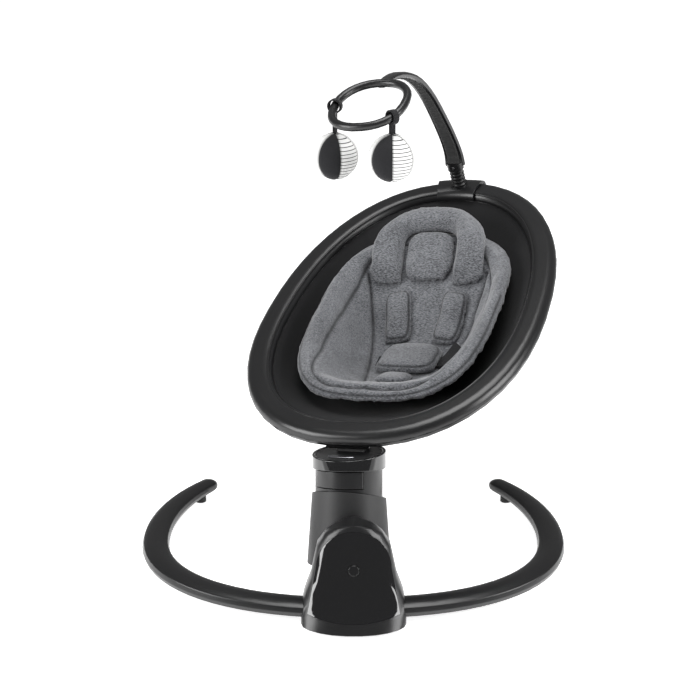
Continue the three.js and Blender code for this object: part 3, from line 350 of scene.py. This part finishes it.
def useGroup(tree, key, **values):
    made = tree.nodes.new("ShaderNodeGroup")
    made.node_tree = shared[key]
    for socketName, value in values.items():
        made.inputs[socketName.replace("_", " ")].default_value = value
    return made


def bumpInto(tree, bsdf, height, strength, distance):
    bump = tree.nodes.new("ShaderNodeBump")
    bump.inputs["Strength"].default_value = strength
    bump.inputs["Distance"].default_value = distance
    tree.links.new(height, bump.inputs["Height"])
    tree.links.new(bump.outputs["Normal"], bsdf.inputs["Normal"])


def plastic(name, color, roughness, wear=0.1, grain=0.1, coat=0.0, smudge=0.08, grainScale=1500.0):
    material, tree, bsdf = newMaterial(name)
    skin = useGroup(tree, "skin", Grain_Scale=grainScale, Base_Roughness=roughness, Smudge=smudge)
    worn = useGroup(tree, "wear", Amount=wear)
    dark = tuple(0.82 * c for c in color) + (1,)
    base = mixNode(tree, skin.outputs["Shade"], dark, tuple(color) + (1,))
    pale = tuple(min(1, 1.9 * c + 0.02) for c in color) + (1,)
    tree.links.new(mixNode(tree, worn.outputs["Mask"], base, pale), bsdf.inputs["Base Color"])
    tree.links.new(skin.outputs["Roughness"], bsdf.inputs["Roughness"])
    bsdf.inputs["Coat Weight"].default_value = coat
    bsdf.inputs["Coat Roughness"].default_value = 0.04
    bsdf.inputs["IOR"].default_value = 1.5
    bumpInto(tree, bsdf, skin.outputs["Height"], grain, 0.0002)
    return material


def metal(name, color, roughness, wear=0.3):
    material, tree, bsdf = newMaterial(name)
    skin = useGroup(tree, "skin", Grain_Scale=700.0, Base_Roughness=roughness, Smudge=0.15)
    worn = useGroup(tree, "wear", Amount=wear)
    dark = tuple(0.75 * c for c in color) + (1,)
    base = mixNode(tree, skin.outputs["Shade"], dark, tuple(color) + (1,))
    pale = tuple(min(1, 1.2 * c) for c in color) + (1,)
    tree.links.new(mixNode(tree, worn.outputs["Mask"], base, pale), bsdf.inputs["Base Color"])
    tree.links.new(skin.outputs["Roughness"], bsdf.inputs["Roughness"])
    bsdf.inputs["Metallic"].default_value = 1.0
    bumpInto(tree, bsdf, skin.outputs["Height"], 0.2, 0.0002)
    return material


# Painted shade: mixes the colour toward near black where the seam mark is high, darkening the sewn grooves.
def seamShade(tree, color, strength):
    seam = tree.nodes.new("ShaderNodeAttribute")
    seam.attribute_name = "seam"
    amount = mathNode(tree, "MULTIPLY", seam.outputs["Fac"], strength)
    return mixNode(tree, amount, color, (0.004, 0.004, 0.005, 1))


def heatherCloth(name, light, dark):
    material, tree, bsdf = newMaterial(name)
    knit = useGroup(tree, "heather", Light_Yarn=light + (1,), Dark_Yarn=dark + (1,))
    weave = useGroup(tree, "weave", Threads=620.0, Slub=0.5)
    tree.links.new(seamShade(tree, knit.outputs["Color"], 0.8), bsdf.inputs["Base Color"])
    height = mathNode(tree, "MULTIPLY_ADD", weave.outputs["Height"], 0.5, knit.outputs["Height"])
    bsdf.inputs["Roughness"].default_value = 0.92
    bsdf.inputs["Sheen Weight"].default_value = 0.35
    bsdf.inputs["Sheen Roughness"].default_value = 0.5
    bsdf.inputs["Specular IOR Level"].default_value = 0.25
    bumpInto(tree, bsdf, height, 0.4, 0.0005)
    return material


def plainCloth(name, color, threads, sheen, bump=0.4, lift=1.35, stripes=None):
    material, tree, bsdf = newMaterial(name)
    weave = useGroup(tree, "weave", Threads=threads, Slub=0.5)
    pale = tuple(min(1, lift * c) for c in color) + (1,)
    base = mixNode(tree, weave.outputs["Thread Mask"], tuple(color) + (1,), pale)
    clouds = noiseNode(tree, placeNode(tree), 9, 3, 0.5)
    base = mixNode(tree, rampNode(tree, clouds, 0.3, 0.75), base, tuple(0.8 * c for c in color) + (1,))
    if stripes:
        base = stripeOver(tree, base, stripes)
    tree.links.new(seamShade(tree, base, 0.7), bsdf.inputs["Base Color"])
    bsdf.inputs["Roughness"].default_value = 0.85
    bsdf.inputs["Sheen Weight"].default_value = sheen
    bsdf.inputs["Sheen Roughness"].default_value = 0.4
    bsdf.inputs["Specular IOR Level"].default_value = 0.3
    bumpInto(tree, bsdf, weave.outputs["Height"], bump, 0.0006)
    return material


def stripeOver(tree, base, stripes):
    parts = tree.nodes.new("ShaderNodeSeparateXYZ")
    tree.links.new(placeNode(tree), parts.inputs["Vector"])
    step = mathNode(tree, "DIVIDE", parts.outputs["Z"], stripes["pitch"])
    step = mathNode(tree, "FRACT", step)
    away = mathNode(tree, "ABSOLUTE", mathNode(tree, "SUBTRACT", step, 0.5))
    away = mathNode(tree, "SUBTRACT", 0.5, away)
    line = rampNode(tree, away, stripes["width"] * 1.3, stripes["width"])
    return mixNode(tree, line, base, stripes["ink"])


finishes = {
    "satin": plastic("satin black moulding", (0.0075, 0.0075, 0.008), 0.3, wear=0.3, grain=0.06),
    "gloss": plastic(
        "gloss black panel", (0.0035, 0.0035, 0.004), 0.05, wear=0.15, grain=0.0, coat=0.6, smudge=0.03
    ),
    "matte": plastic("matte black moulding", (0.0105, 0.0105, 0.011), 0.48, wear=0.4, grain=0.35),
    "rubber": plastic("rubber foot", (0.018, 0.018, 0.018), 0.85, wear=0.2, grain=0.5, grainScale=900.0),
    "steel": metal("turned steel", (0.55, 0.55, 0.56), 0.32),
    "nylon": plastic("natural nylon", (0.68, 0.66, 0.6), 0.45),
    "board": plastic("circuit board", (0.02, 0.12, 0.05), 0.4, grain=0.2),
    "badge": metal("polished badge", (0.33, 0.33, 0.35), 0.3, wear=0.1),
    "mesh": plainCloth("black bowl cloth", (0.0062, 0.0062, 0.0068), threads=800.0, sheen=0.05),
    "melange": heatherCloth("grey heather jersey", (0.20, 0.206, 0.22), (0.034, 0.035, 0.039)),
    "webbing": plainCloth("black webbing", (0.008, 0.008, 0.009), threads=620.0, sheen=0.12, bump=0.8),
    "toy": plainCloth("white toy cloth", (0.72, 0.72, 0.71), threads=1100.0, sheen=0.15, lift=1.08),
}
toyCloths = [
    plainCloth("black toy cloth", (0.008, 0.008, 0.0095), threads=1100.0, sheen=0.12),
    finishes["toy"],
    plainCloth(
        "striped toy cloth", (0.72, 0.72, 0.71), threads=1100.0, sheen=0.15, lift=1.08,
        stripes={"pitch": 0.0052, "width": 0.09, "ink": (0.02, 0.02, 0.022, 1)},
    ),
]
print("materials built:", len(finishes) + 2)


# Rigid nodes: rounded edges, clean shading, and their finishes.

rounding = {
    "width": 0.0009,
    "segments": 2,
    "angle": 38,
    "flat": 0.6,  # degrees between faces that are one face
    "plain": {"board", "nylon"},  # finishes that stay square
    "skip": {"lever_spring", "toy_ring", "drive_gear", "drive_pinion"},
}


def dressNode(name, finish):
    piece = nodes[name]
    coverWith(piece, finishes[finish])
    addWeld(piece)
    if finish not in rounding["plain"] and name not in rounding["skip"]:
        flat = piece.modifiers.new("flat faces", "DECIMATE")
        flat.decimate_type = "DISSOLVE"
        flat.angle_limit = math.radians(rounding["flat"])
        bevel = piece.modifiers.new("rounded edges", "BEVEL")
        bevel.width = rounding["width"]
        bevel.segments = rounding["segments"]
        bevel.limit_method = "ANGLE"
        bevel.angle_limit = math.radians(rounding["angle"])
        bevel.miter_outer = "MITER_ARC"
    for face in piece.data.polygons:
        face.use_smooth = True
    piece.modifiers.new("even shading", "WEIGHTED_NORMAL").keep_sharp = True


softNodes = {
    "fabric_bowl", "insert_pad", "head_pillow", "pillow_inset", "shoulder_pad_left", "shoulder_pad_right",
    "waist_pad", "crotch_pad", "waist_strap_left", "waist_strap_right", "toy_strap_left", "toy_strap_right",
    "toy_ball_left", "toy_ball_right",
}
for subpart in frame["record"]["subparts"]:
    if subpart["node"] not in softNodes:
        dressNode(subpart["node"], subpart["material_slot"])
print("rigid nodes dressed:", len(nodes) - len(softNodes))


# The seat's ring outline, the same superellipse as the solids.

ringShape = {
    "halfLength": 0.333, "halfWidth": 0.2345, "lipWidth": 0.042,
    "squareness": 2.25, "taper": 0.0715,
}


def ringPlace(turn):
    y = ringShape["halfLength"] * signedPow(np.cos(turn), 2 / ringShape["squareness"])
    x = ringShape["halfWidth"] * signedPow(np.sin(turn), 2 / ringShape["squareness"])
    return np.stack([x * (1 - ringShape["taper"] * y / ringShape["halfLength"]), y], -1)


def ringInset(count, drawn):
    turn = 2 * math.pi * (np.arange(count) + 0.5) / count
    at = ringPlace(turn)
    step = 0.01
    along = ringPlace(turn + step) - ringPlace(turn - step)
    along /= np.linalg.norm(along, axis=1)[:, None]
    inward = np.stack([along[:, 1], -along[:, 0]], -1)
    inward[(inward * at).sum(1) > 0] *= -1
    return at + inward * drawn


def ringShare(x, y):
    half = ringShape["halfLength"] - ringShape["lipWidth"]
    side = ringShape["halfWidth"] - ringShape["lipWidth"]
    side = side * (1 - ringShape["taper"] * y / ringShape["halfLength"])
    n = ringShape["squareness"]
    return np.minimum(1, (np.abs(y / half) ** n + np.abs(x / side) ** n) ** (1 / n))


# Fabric bowl: one curved sheet of sewn panels.

bowl = {
    "rim": -0.013, "head": 0.062, "seat": 0.122, "seatAt": -0.075, "seatSpread": 0.125, "power": 2.4,
    "thickness": 0.0022, "gap": 0.0002,  # clear of the lip's inner edge
    "around": 160, "out": 44, "first": 0.012, "crowding": 0.8,  # rows from the middle to the lip
    "seams": [(-0.150, 0.215), (0.128, 0.200), (-0.155, -0.205), (0.150, -0.200)],
    "seamWidth": 0.0022, "seamDepth": 0.0016, "seamFrom": 0.35,
    "tension": 0.0016, "folds": (26, 9, 3.1),  # pulled between the panels and the seat
    "tuck": [(0.0405, -0.0115), (0.038, -0.0095)],  # the hem, caught under the lip
}


def bowlHeight(x, y):
    seat = np.exp(-(((y - bowl["seatAt"]) / bowl["seatSpread"]) ** 2))
    depth = bowl["head"] + (bowl["seat"] - bowl["head"]) * seat
    return bowl["rim"] - depth * (1 - ringShare(x, y) ** bowl["power"])


def makeBowl():
    edge = ringInset(bowl["around"], ringShape["lipWidth"] + bowl["gap"])
    shares = np.linspace(bowl["first"], 1, bowl["out"]) ** bowl["crowding"]
    foldsAlong, foldsAcross, foldsLayer = bowl["folds"]
    points, seamMarks = [], []
    for share in shares:
        flat = edge * share
        height = bowlHeight(flat[:, 0], flat[:, 1])
        for (x, y), z in zip(flat, height):
            angle = math.atan2(x, y)
            mark = 0.0
            for sx, sy in bowl["seams"]:
                apart = abs(angle - math.atan2(sx, sy))
                if apart < math.pi / 2 and share > bowl["seamFrom"]:
                    away = math.hypot(x, y) * math.sin(apart)
                    mark = max(mark, math.exp(-((away / bowl["seamWidth"]) ** 2)))
            ripple = noise.noise(Vector((x * foldsAlong, y * foldsAcross, foldsLayer)))
            ripple *= bowl["tension"] * math.sin(math.pi * share)
            points.append((x, y, z - bowl["seamDepth"] * mark + ripple))
            seamMarks.append(mark)
    for drawn, height in bowl["tuck"]:
        points += [(x, y, height) for x, y in ringInset(bowl["around"], drawn)]
        seamMarks += [0.0] * bowl["around"]
    count = bowl["around"]
    faces = gridFaces(len(shares) + len(bowl["tuck"]), count, wrapColumns=True)
    centre = len(points)
    points.append((0, 0, float(bowlHeight(np.array([0.0]), np.array([0.0]))[0])))
    seamMarks.append(0.0)
    faces += [(centre, (j + 1) % count, j) for j in range(count)]
    piece = newMesh("bowl_cloth", fromSeat(points), [tuple(reversed(f)) for f in faces])
    markSeams(piece.data, seamMarks)
    addThickness(piece, bowl["thickness"], -1)
    coverWith(piece, finishes["mesh"])
    return piece


bowlCloth = makeBowl()
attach(bowlCloth, "seat")
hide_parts("fabric_bowl")
print("bowl cloth sewn")


# Padded pieces: remeshed, filled by a cloth simulation, then sewn.

shoulderPad = {
    "voxel": 0.004, "shrink": 0.001, "cap": 0.004, "pressure": 4.0, "fill": 0.6,
    "wrinkle": 0.0004, "seamDepth": 0.0014, "seamWidth": 0.0018,
}
pads = {
    "insert_pad": {
        "name": "seat_insert",
        "voxel": 0.005, "shrink": 0.0012, "cap": 0.004, "pressure": 3.0, "fill": 0.45,
        "wrinkle": 0.0012, "seamDepth": 0.0038, "seamWidth": 0.0030,
    },
    "head_pillow": {
        "name": "head_cushion",
        "voxel": 0.0045, "shrink": 0.0015, "cap": 0.006, "pressure": 4.0, "fill": 0.8,
        "wrinkle": 0.0008, "seamDepth": 0.002, "seamWidth": 0.0028,
    },
    "pillow_inset": {
        "name": "head_panel",
        "voxel": 0.004, "shrink": 0.001, "cap": 0.005, "pressure": 4.0, "fill": 0.7,
        "wrinkle": 0.0005, "seamDepth": 0.0, "seamWidth": 0.003,
    },
    "shoulder_pad_left": {
        **shoulderPad, "name": "shoulder_cushion_left",
        "stitch": {"turn": 8, "power": 5, "drawn": 0.0055},
    },
    "shoulder_pad_right": {
        **shoulderPad, "name": "shoulder_cushion_right",
        "stitch": {"turn": -8, "power": 5, "drawn": 0.0055},
    },
    "waist_pad": {
        "name": "waist_cushion",
        "voxel": 0.004, "shrink": 0.0012, "cap": 0.005, "pressure": 4.0, "fill": 0.7,
        "wrinkle": 0.0008, "seamDepth": 0.0016, "seamWidth": 0.0018, "solid": True,
        "stitch": {"turn": 0, "power": 4, "drawn": 0.006},
    },
    "crotch_pad": {
        "name": "crotch_cushion",
        "voxel": 0.004, "shrink": 0.001, "cap": 0.004, "pressure": 4.0, "fill": 0.6,
        "wrinkle": 0.0006, "seamDepth": 0.0, "seamWidth": 0.0018,
    },
}

insertShape = {
    "halfLength": 0.216, "halfWidth": 0.160, "centre": -0.020, "headPower": 3.0, "footPower": 2.8,
    "strip": 0.077, "stripSpread": 0.24, "stripSpan": (-0.17, 0.10),
    "rim": 0.042, "rimFoot": 0.020, "rimRise": 0.13,  # how far the rim's seam lies in from the edge
    "hem": 0.009, "hemTop": 0.03, "hemTurn": 0.05,
}


def insertEdge(drawn, count=240):
    turn = 2 * math.pi * (np.arange(count) + 0.5) / count
    power = np.where(np.cos(turn) > 0, insertShape["headPower"], insertShape["footPower"])
    y = insertShape["centre"] + insertShape["halfLength"] * signedPow(np.cos(turn), 2 / power)
    x = insertShape["halfWidth"] * signedPow(np.sin(turn), 2 / power)
    edge = np.stack([x, y], -1)
    along = np.roll(edge, -1, 0) - np.roll(edge, 1, 0)
    inward = np.stack([along[:, 1], -along[:, 0]], -1) / np.linalg.norm(along, axis=1)[:, None]
    inward[(inward * (edge - [0, insertShape["centre"]])).sum(1) > 0] *= -1
    return edge + inward * drawn(y)[:, None]


def rimDrawn(y):
    foot = insertShape["centre"] - insertShape["halfLength"]
    widening = insertShape["rim"] - insertShape["rimFoot"]
    return insertShape["rimFoot"] + widening * smoothStep((y - foot) / insertShape["rimRise"])


def stripSeam(side):
    y = np.linspace(*insertShape["stripSpan"], 60)
    x = side * (insertShape["strip"] + insertShape["stripSpread"] * y)
    return np.stack([x, y], -1)


def hemSeam():
    line = insertEdge(lambda y: np.full(len(y), insertShape["hem"]))
    low = line[line[:, 1] < insertShape["hemTop"]]
    order = np.argsort(np.arctan2(low[:, 0], -(low[:, 1] - insertShape["hemTurn"])))
    return low[order]


insertSeams = [
    {"line": insertEdge(rimDrawn), "closed": True, "depth": 1.0},
    {"line": hemSeam(), "closed": False, "depth": 0.5},
    {"line": stripSeam(-1), "closed": False, "depth": 1.5},
    {"line": stripSeam(1), "closed": False, "depth": 1.5},
]


def awayFrom(line, closed, flat):
    ends = np.roll(line, -1, 0) if closed else line[1:]
    starts = line if closed else line[:-1]
    best = np.full(len(flat), 1.0)
    for a, b in zip(starts, ends):
        run = b - a
        t = np.clip(((flat - a) @ run) / max(run @ run, 1e-12), 0, 1)
        best = np.minimum(best, np.linalg.norm(flat - a - t[:, None] * run, axis=1))
    return best


# A rounded outline inside the pad's own, as seen from over the seat.
def stitchLine(node):
    outline = pads[node]["stitch"]
    turn = math.radians(outline["turn"])
    across = np.array([math.cos(turn), math.sin(turn)])
    along = np.array([-math.sin(turn), math.cos(turn)])
    flat = toSeat(verticesOf(node))[:, :2]
    spans = [((flat @ way).min(), (flat @ way).max()) for way in (across, along)]
    half = [(high - low) / 2 - outline["drawn"] for low, high in spans]
    middle = [(high + low) / 2 for low, high in spans]
    t = 2 * math.pi * (np.arange(96) + 0.5) / 96
    x = middle[0] + half[0] * signedPow(np.cos(t), 2 / outline["power"])
    y = middle[1] + half[1] * signedPow(np.sin(t), 2 / outline["power"])
    return x[:, None] * across + y[:, None] * along


def seamsOf(node):
    if node == "insert_pad":
        return insertSeams
    if "stitch" in pads[node]:
        return [{"line": stitchLine(node), "closed": True, "depth": 1.0}]
    return []


# The same pad with the hollow of its underside filled, which a coarse remesh would tear.
def wrapped(mesh):
    shape = bmesh.new()
    shape.from_mesh(mesh)
    hull = bmesh.ops.convex_hull(shape, input=shape.verts)
    spare = {g for g in hull["geom_interior"] + hull["geom_unused"] if isinstance(g, bmesh.types.BMVert)}
    bmesh.ops.delete(shape, geom=list(spare), context="VERTS")
    bmesh.ops.recalc_face_normals(shape, faces=shape.faces)
    shape.to_mesh(mesh)
    shape.free()
    return mesh


def startPad(node):
    settings = pads[node]
    mesh = nodes[node].data.copy()
    if "solid" in settings:
        mesh = wrapped(mesh)
    mesh.name = settings["name"]
    piece = linked(bpy.data.objects.new(settings["name"], mesh))
    addWeld(piece)
    remesh = piece.modifiers.new("even mesh", "REMESH")
    remesh.mode = "VOXEL"
    remesh.voxel_size = settings["voxel"]
    smooth = piece.modifiers.new("soften", "SMOOTH")
    smooth.factor = 0.5
    smooth.iterations = 3
    applyModifiers(piece)
    normals = np.array([v.normal for v in piece.data.vertices])
    places = np.array([v.co for v in piece.data.vertices])
    piece.data.vertices.foreach_set("co", (places - settings["shrink"] * normals).ravel())
    piece.data.update()
    return piece


filling = {"mass": 0.15, "stretch": 12, "bend": 0.6, "quality": 4, "frames": 20}


def fillPads(pieces):
    scene = bpy.context.scene
    before = {}
    for node, piece in pieces.items():
        before[node] = np.array([v.co for v in piece.data.vertices])
        cloth = piece.modifiers.new("filling", "CLOTH")
        cloth.settings.quality = filling["quality"]
        cloth.settings.mass = filling["mass"]
        cloth.settings.tension_stiffness = filling["stretch"]
        cloth.settings.compression_stiffness = filling["stretch"]
        cloth.settings.bending_stiffness = filling["bend"]
        cloth.settings.use_pressure = True
        cloth.settings.uniform_pressure_force = pads[node]["pressure"]
        cloth.settings.effector_weights.gravity = 0
        cloth.collision_settings.use_collision = False
        cloth.point_cache.frame_start = 1
        cloth.point_cache.frame_end = filling["frames"]
    scene.frame_start, scene.frame_end = 1, filling["frames"]
    for step in range(1, filling["frames"] + 1):
        scene.frame_set(step)
    for node, piece in pieces.items():
        applyModifiers(piece)
        after = np.array([v.co for v in piece.data.vertices])
        moved = after - before[node]
        reach = np.linalg.norm(moved, axis=1)
        cap = pads[node]["cap"]
        keep = np.where(reach > cap, cap / np.maximum(reach, 1e-9), 1.0)
        piece.data.vertices.foreach_set("co", (before[node] + moved * keep[:, None]).ravel())
        piece.data.update()
        print("filled", piece.name, "moved up to", round(float(reach.max() * 1000), 1), "mm")
    scene.frame_set(1)


sewing = {
    # markWidth is how wide the painted seam shade is.
    "markWidth": 0.0019,
    "faceFrom": 0.05, "faceOver": 0.4,  # seams are sewn only where the cloth faces up
}


# Creases that lean across the pad, with finer ones over them.
def foldAt(x, y, z):
    broad = noise.noise(Vector((x * 38 + y * 11, y * 24 - x * 9, z * 20)))
    fine = noise.noise(Vector((x * 90, y * 60 + 4, z * 50)))
    return broad + 0.5 * fine


def sewPad(node, piece):
    settings = pads[node]
    finer = piece.modifiers.new("finer", "SUBSURF")
    finer.levels = finer.render_levels = 1
    applyModifiers(piece)
    mesh = piece.data
    places = toSeat(np.array([v.co for v in mesh.vertices]))
    normals = np.array([v.normal for v in mesh.vertices]) @ seatAxes.T
    facing = smoothStep((normals[:, 2] - sewing["faceFrom"]) / sewing["faceOver"])
    marks = np.zeros(len(places))
    push = np.zeros(len(places))
    for seam in seamsOf(node):
        away = awayFrom(seam["line"], seam["closed"], places[:, :2])
        groove = np.exp(-((away / settings["seamWidth"]) ** 2))
        push -= seam["depth"] * settings["seamDepth"] * groove * facing
        marks = np.maximum(marks, np.exp(-((away / sewing["markWidth"]) ** 2)) * facing)
    push += settings["wrinkle"] * np.array([foldAt(*place) for place in places])
    mesh.vertices.foreach_set("co", fromSeat(places + normals * push[:, None]).ravel())
    markSeams(mesh, marks.astype(np.float32))
    mesh.update()
    mesh.shade_smooth()
    coverWith(piece, finishes["melange"])


padPieces = {node: startPad(node) for node in pads}
fillPads(padPieces)
for node, piece in padPieces.items():
    sewPad(node, piece)
    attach(piece, "seat")
    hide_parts(node)
print("pads filled and sewn:", len(padPieces))


# Toy balls: sewn gores in black, plain white and striped cloth.

ball = {
    "around": 72, "down": 36, "gores": 6, "groove": 0.0011, "grooveWidth": 0.0016,
    "flattened": 0.012,  # how much less a gore stands out at its edges
    "cloths": [0, 2, 1, 0, 2, 1],
}
gores = {
    "toy_ball_left": {"body": "toy_left", "first": -135},
    "toy_ball_right": {"body": "toy_right", "first": -150},
}


def makeBall(node):
    low, high = (np.array(corner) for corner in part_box(node))
    centre = (low + high) / 2
    radius = (high[2] - low[2]) / 2
    points, marks = [], []
    spread = 2 * math.pi / ball["gores"]
    for i in range(1, ball["down"]):
        polar = math.pi * i / ball["down"]
        for j in range(ball["around"]):
            turn = 2 * math.pi * j / ball["around"]
            share = (turn % spread) / spread
            away = min(share, 1 - share) * spread * radius * math.sin(polar)
            mark = math.exp(-((away / ball["grooveWidth"]) ** 2))
            puff = 1 - ball["flattened"] * (1 - math.sin(math.pi * share) ** 0.5)
            r = radius * puff - ball["groove"] * mark
            first = turn + math.radians(gores[node]["first"])
            points.append(centre + r * np.array([
                math.sin(polar) * math.cos(first), math.sin(polar) * math.sin(first), math.cos(polar),
            ]))
            marks.append(mark)
    rows = ball["down"] - 1
    faces = gridFaces(rows, ball["around"], wrapColumns=True)
    top, bottom = len(points), len(points) + 1
    points += [centre + np.array([0, 0, radius]), centre - np.array([0, 0, radius])]
    marks += [1.0, 1.0]
    faces = [tuple(reversed(f)) for f in faces]
    faces += [(top, j, (j + 1) % ball["around"]) for j in range(ball["around"])]
    last = (rows - 1) * ball["around"]
    faces += [(bottom, last + (j + 1) % ball["around"], last + j) for j in range(ball["around"])]
    piece = newMesh(node.replace("toy_ball", "sewn_ball"), points, faces)
    markSeams(piece.data, marks)
    for cloth in toyCloths:
        piece.data.materials.append(cloth)
    wide = ball["around"] // ball["gores"]
    for face in piece.data.polygons:
        columns = [v % ball["around"] for v in face.vertices if v < top]
        closing = min(columns) == 0 and max(columns) == ball["around"] - 1
        column = max(columns) if closing else min(columns)
        face.material_index = ball["cloths"][column // wide]
    return piece


for node in gores:
    made = makeBall(node)
    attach(made, gores[node]["body"])
    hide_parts(node)
print("toy balls sewn")


# Straps: woven tapes with ribbed faces.

def dressTape(node, body):
    piece = linked(bpy.data.objects.new(node + "_tape", nodes[node].data.copy()))
    addWeld(piece)
    finer = piece.modifiers.new("finer", "SUBSURF")
    finer.subdivision_type = "SIMPLE"
    finer.levels = finer.render_levels = 2
    applyModifiers(piece)
    piece.data.shade_smooth()
    coverWith(piece, finishes["webbing"])
    piece.modifiers.new("even shading", "WEIGHTED_NORMAL").keep_sharp = True
    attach(piece, body)
    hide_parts(node)


tapes = {
    "waist_strap_left": "seat", "waist_strap_right": "seat",
    "toy_strap_left": "toy_left", "toy_strap_right": "toy_right",
}
for node, body in tapes.items():
    dressTape(node, body)
print("tapes woven:", len(tapes))


# Trim: the piping inside the seat's lip, and the ribbed channel inside the toy bar.

piping = {"drawn": 0.0365, "height": 0.0022, "radius": 0.0019, "around": 200, "sides": 8}
channel = {
    "centre": (-0.150, 0.120), "from": -28, "to": 100, "rows": 220, "columns": 9,
    "halfWidth": (0.0105, 0.0045), "proud": 0.0006, "rib": 0.0008, "ribRows": 4,
    "sunk": 0.0002, "thickness": 0.0008,
}


def makePiping():
    line = ringInset(piping["around"], piping["drawn"])
    path = fromSeat(np.column_stack([line, np.full(len(line), piping["height"])]))
    piece = loopCord("lip_piping", path, piping["radius"], piping["sides"])
    coverWith(piece, finishes["satin"])
    return piece


def makeChannel():
    bar = nodes["toy_bar"].data
    tree = BVHTree.FromPolygons([v.co for v in bar.vertices], [f.vertices for f in bar.polygons])
    foot = toSeat(joints["toy_bar"]["pos_m"])[0]
    middle = foot + np.array([0, *channel["centre"]])
    points, rows = [], 0
    for i in range(channel["rows"]):
        share = i / (channel["rows"] - 1)
        turn = math.radians(channel["from"] + (channel["to"] - channel["from"]) * share)
        way = np.array([0, math.cos(turn), math.sin(turn)])
        half = channel["halfWidth"][0] + (channel["halfWidth"][1] - channel["halfWidth"][0]) * share
        raised = channel["proud"] + channel["rib"] * (i // channel["ribRows"] % 2)
        row = []
        for j in range(channel["columns"]):
            side = np.array([1, 0, 0]) * half * (2 * j / (channel["columns"] - 1) - 1)
            hit, normal, _, _ = tree.ray_cast(Vector(fromSeat(middle + side)[0]), Vector(way @ seatAxes))
            if hit is None:
                break
            edge = 1 if 0 < j < channel["columns"] - 1 else 0
            row.append(np.array(hit) + np.array(normal) * (raised * edge - channel["sunk"]))
        if len(row) == channel["columns"]:
            points += row
            rows += 1
    piece = newMesh("bar_channel", points, gridFaces(rows, channel["columns"]))
    addThickness(piece, channel["thickness"], 0)
    coverWith(piece, finishes["rubber"])
    return piece


for made, body, slot in ((makePiping(), "seat", "satin"), (makeChannel(), "toy_bar", "rubber")):
    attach(made, body)
print("trim fitted")


# Studio.

studio = {
    "floor": 40.0, "floorColor": (0.93, 0.93, 0.93, 1), "world": 0.24, "floorGlow": 0.82,
    "aim": (-0.0053, 0.230, 0.318), "elevation": 21, "distance": 2.6, "lens": 88.6,
    "lit": (0, 0.25, 0.3),  # where every lamp points
    "lamps": [
        {"name": "left soft box", "at": (-1.9, -0.5, 1.0), "size": 1.2, "power": 38},
        {"name": "right soft box", "at": (1.9, -0.4, 1.1), "size": 1.2, "power": 36},
        {"name": "top light", "at": (0.1, 0.3, 2.6), "size": 1.7, "power": 52},
    ],
}


def looking(way):
    return way.to_track_quat("-Z", "Y").to_euler()


def makeStudio():
    half = studio["floor"] / 2
    floor = newMesh(
        "studio_floor",
        [(-half, -half, 0), (half, -half, 0), (half, half, 0), (-half, half, 0)],
        [(0, 1, 2, 3)],
        smooth=False,
    )
    material, tree, bsdf = newMaterial("pale floor")
    bsdf.inputs["Base Color"].default_value = studio["floorColor"]
    bsdf.inputs["Roughness"].default_value = 0.9
    bsdf.inputs["Emission Color"].default_value = (1, 1, 1, 1)
    bsdf.inputs["Emission Strength"].default_value = studio["floorGlow"]
    floor.data.materials.append(material)
    world = bpy.data.worlds.new("studio light")
    world.use_nodes = True
    background = world.node_tree.nodes["Background"]
    background.inputs["Color"].default_value = (1, 1, 1, 1)
    background.inputs["Strength"].default_value = studio["world"]
    bpy.context.scene.world = world
    for lamp in studio["lamps"]:
        light = bpy.data.lights.new(lamp["name"], "AREA")
        light.shape = "SQUARE"
        light.size = lamp["size"]
        light.energy = lamp["power"]
        holder = linked(bpy.data.objects.new(lamp["name"], light))
        holder.location = lamp["at"]
        holder.rotation_euler = looking(Vector(studio["lit"]) - Vector(lamp["at"]))
    lens = bpy.data.cameras.new("camera")
    lens.lens = studio["lens"]
    lens.sensor_width = 36
    camera = linked(bpy.data.objects.new("camera", lens))
    tilt = math.radians(studio["elevation"])
    aim = Vector(studio["aim"])
    camera.location = aim + studio["distance"] * Vector((0, -math.cos(tilt), math.sin(tilt)))
    camera.rotation_euler = looking(aim - camera.location)
    bpy.context.scene.camera = camera
    bpy.context.scene.view_settings.view_transform = "Standard"


makeStudio()
print("studio set")
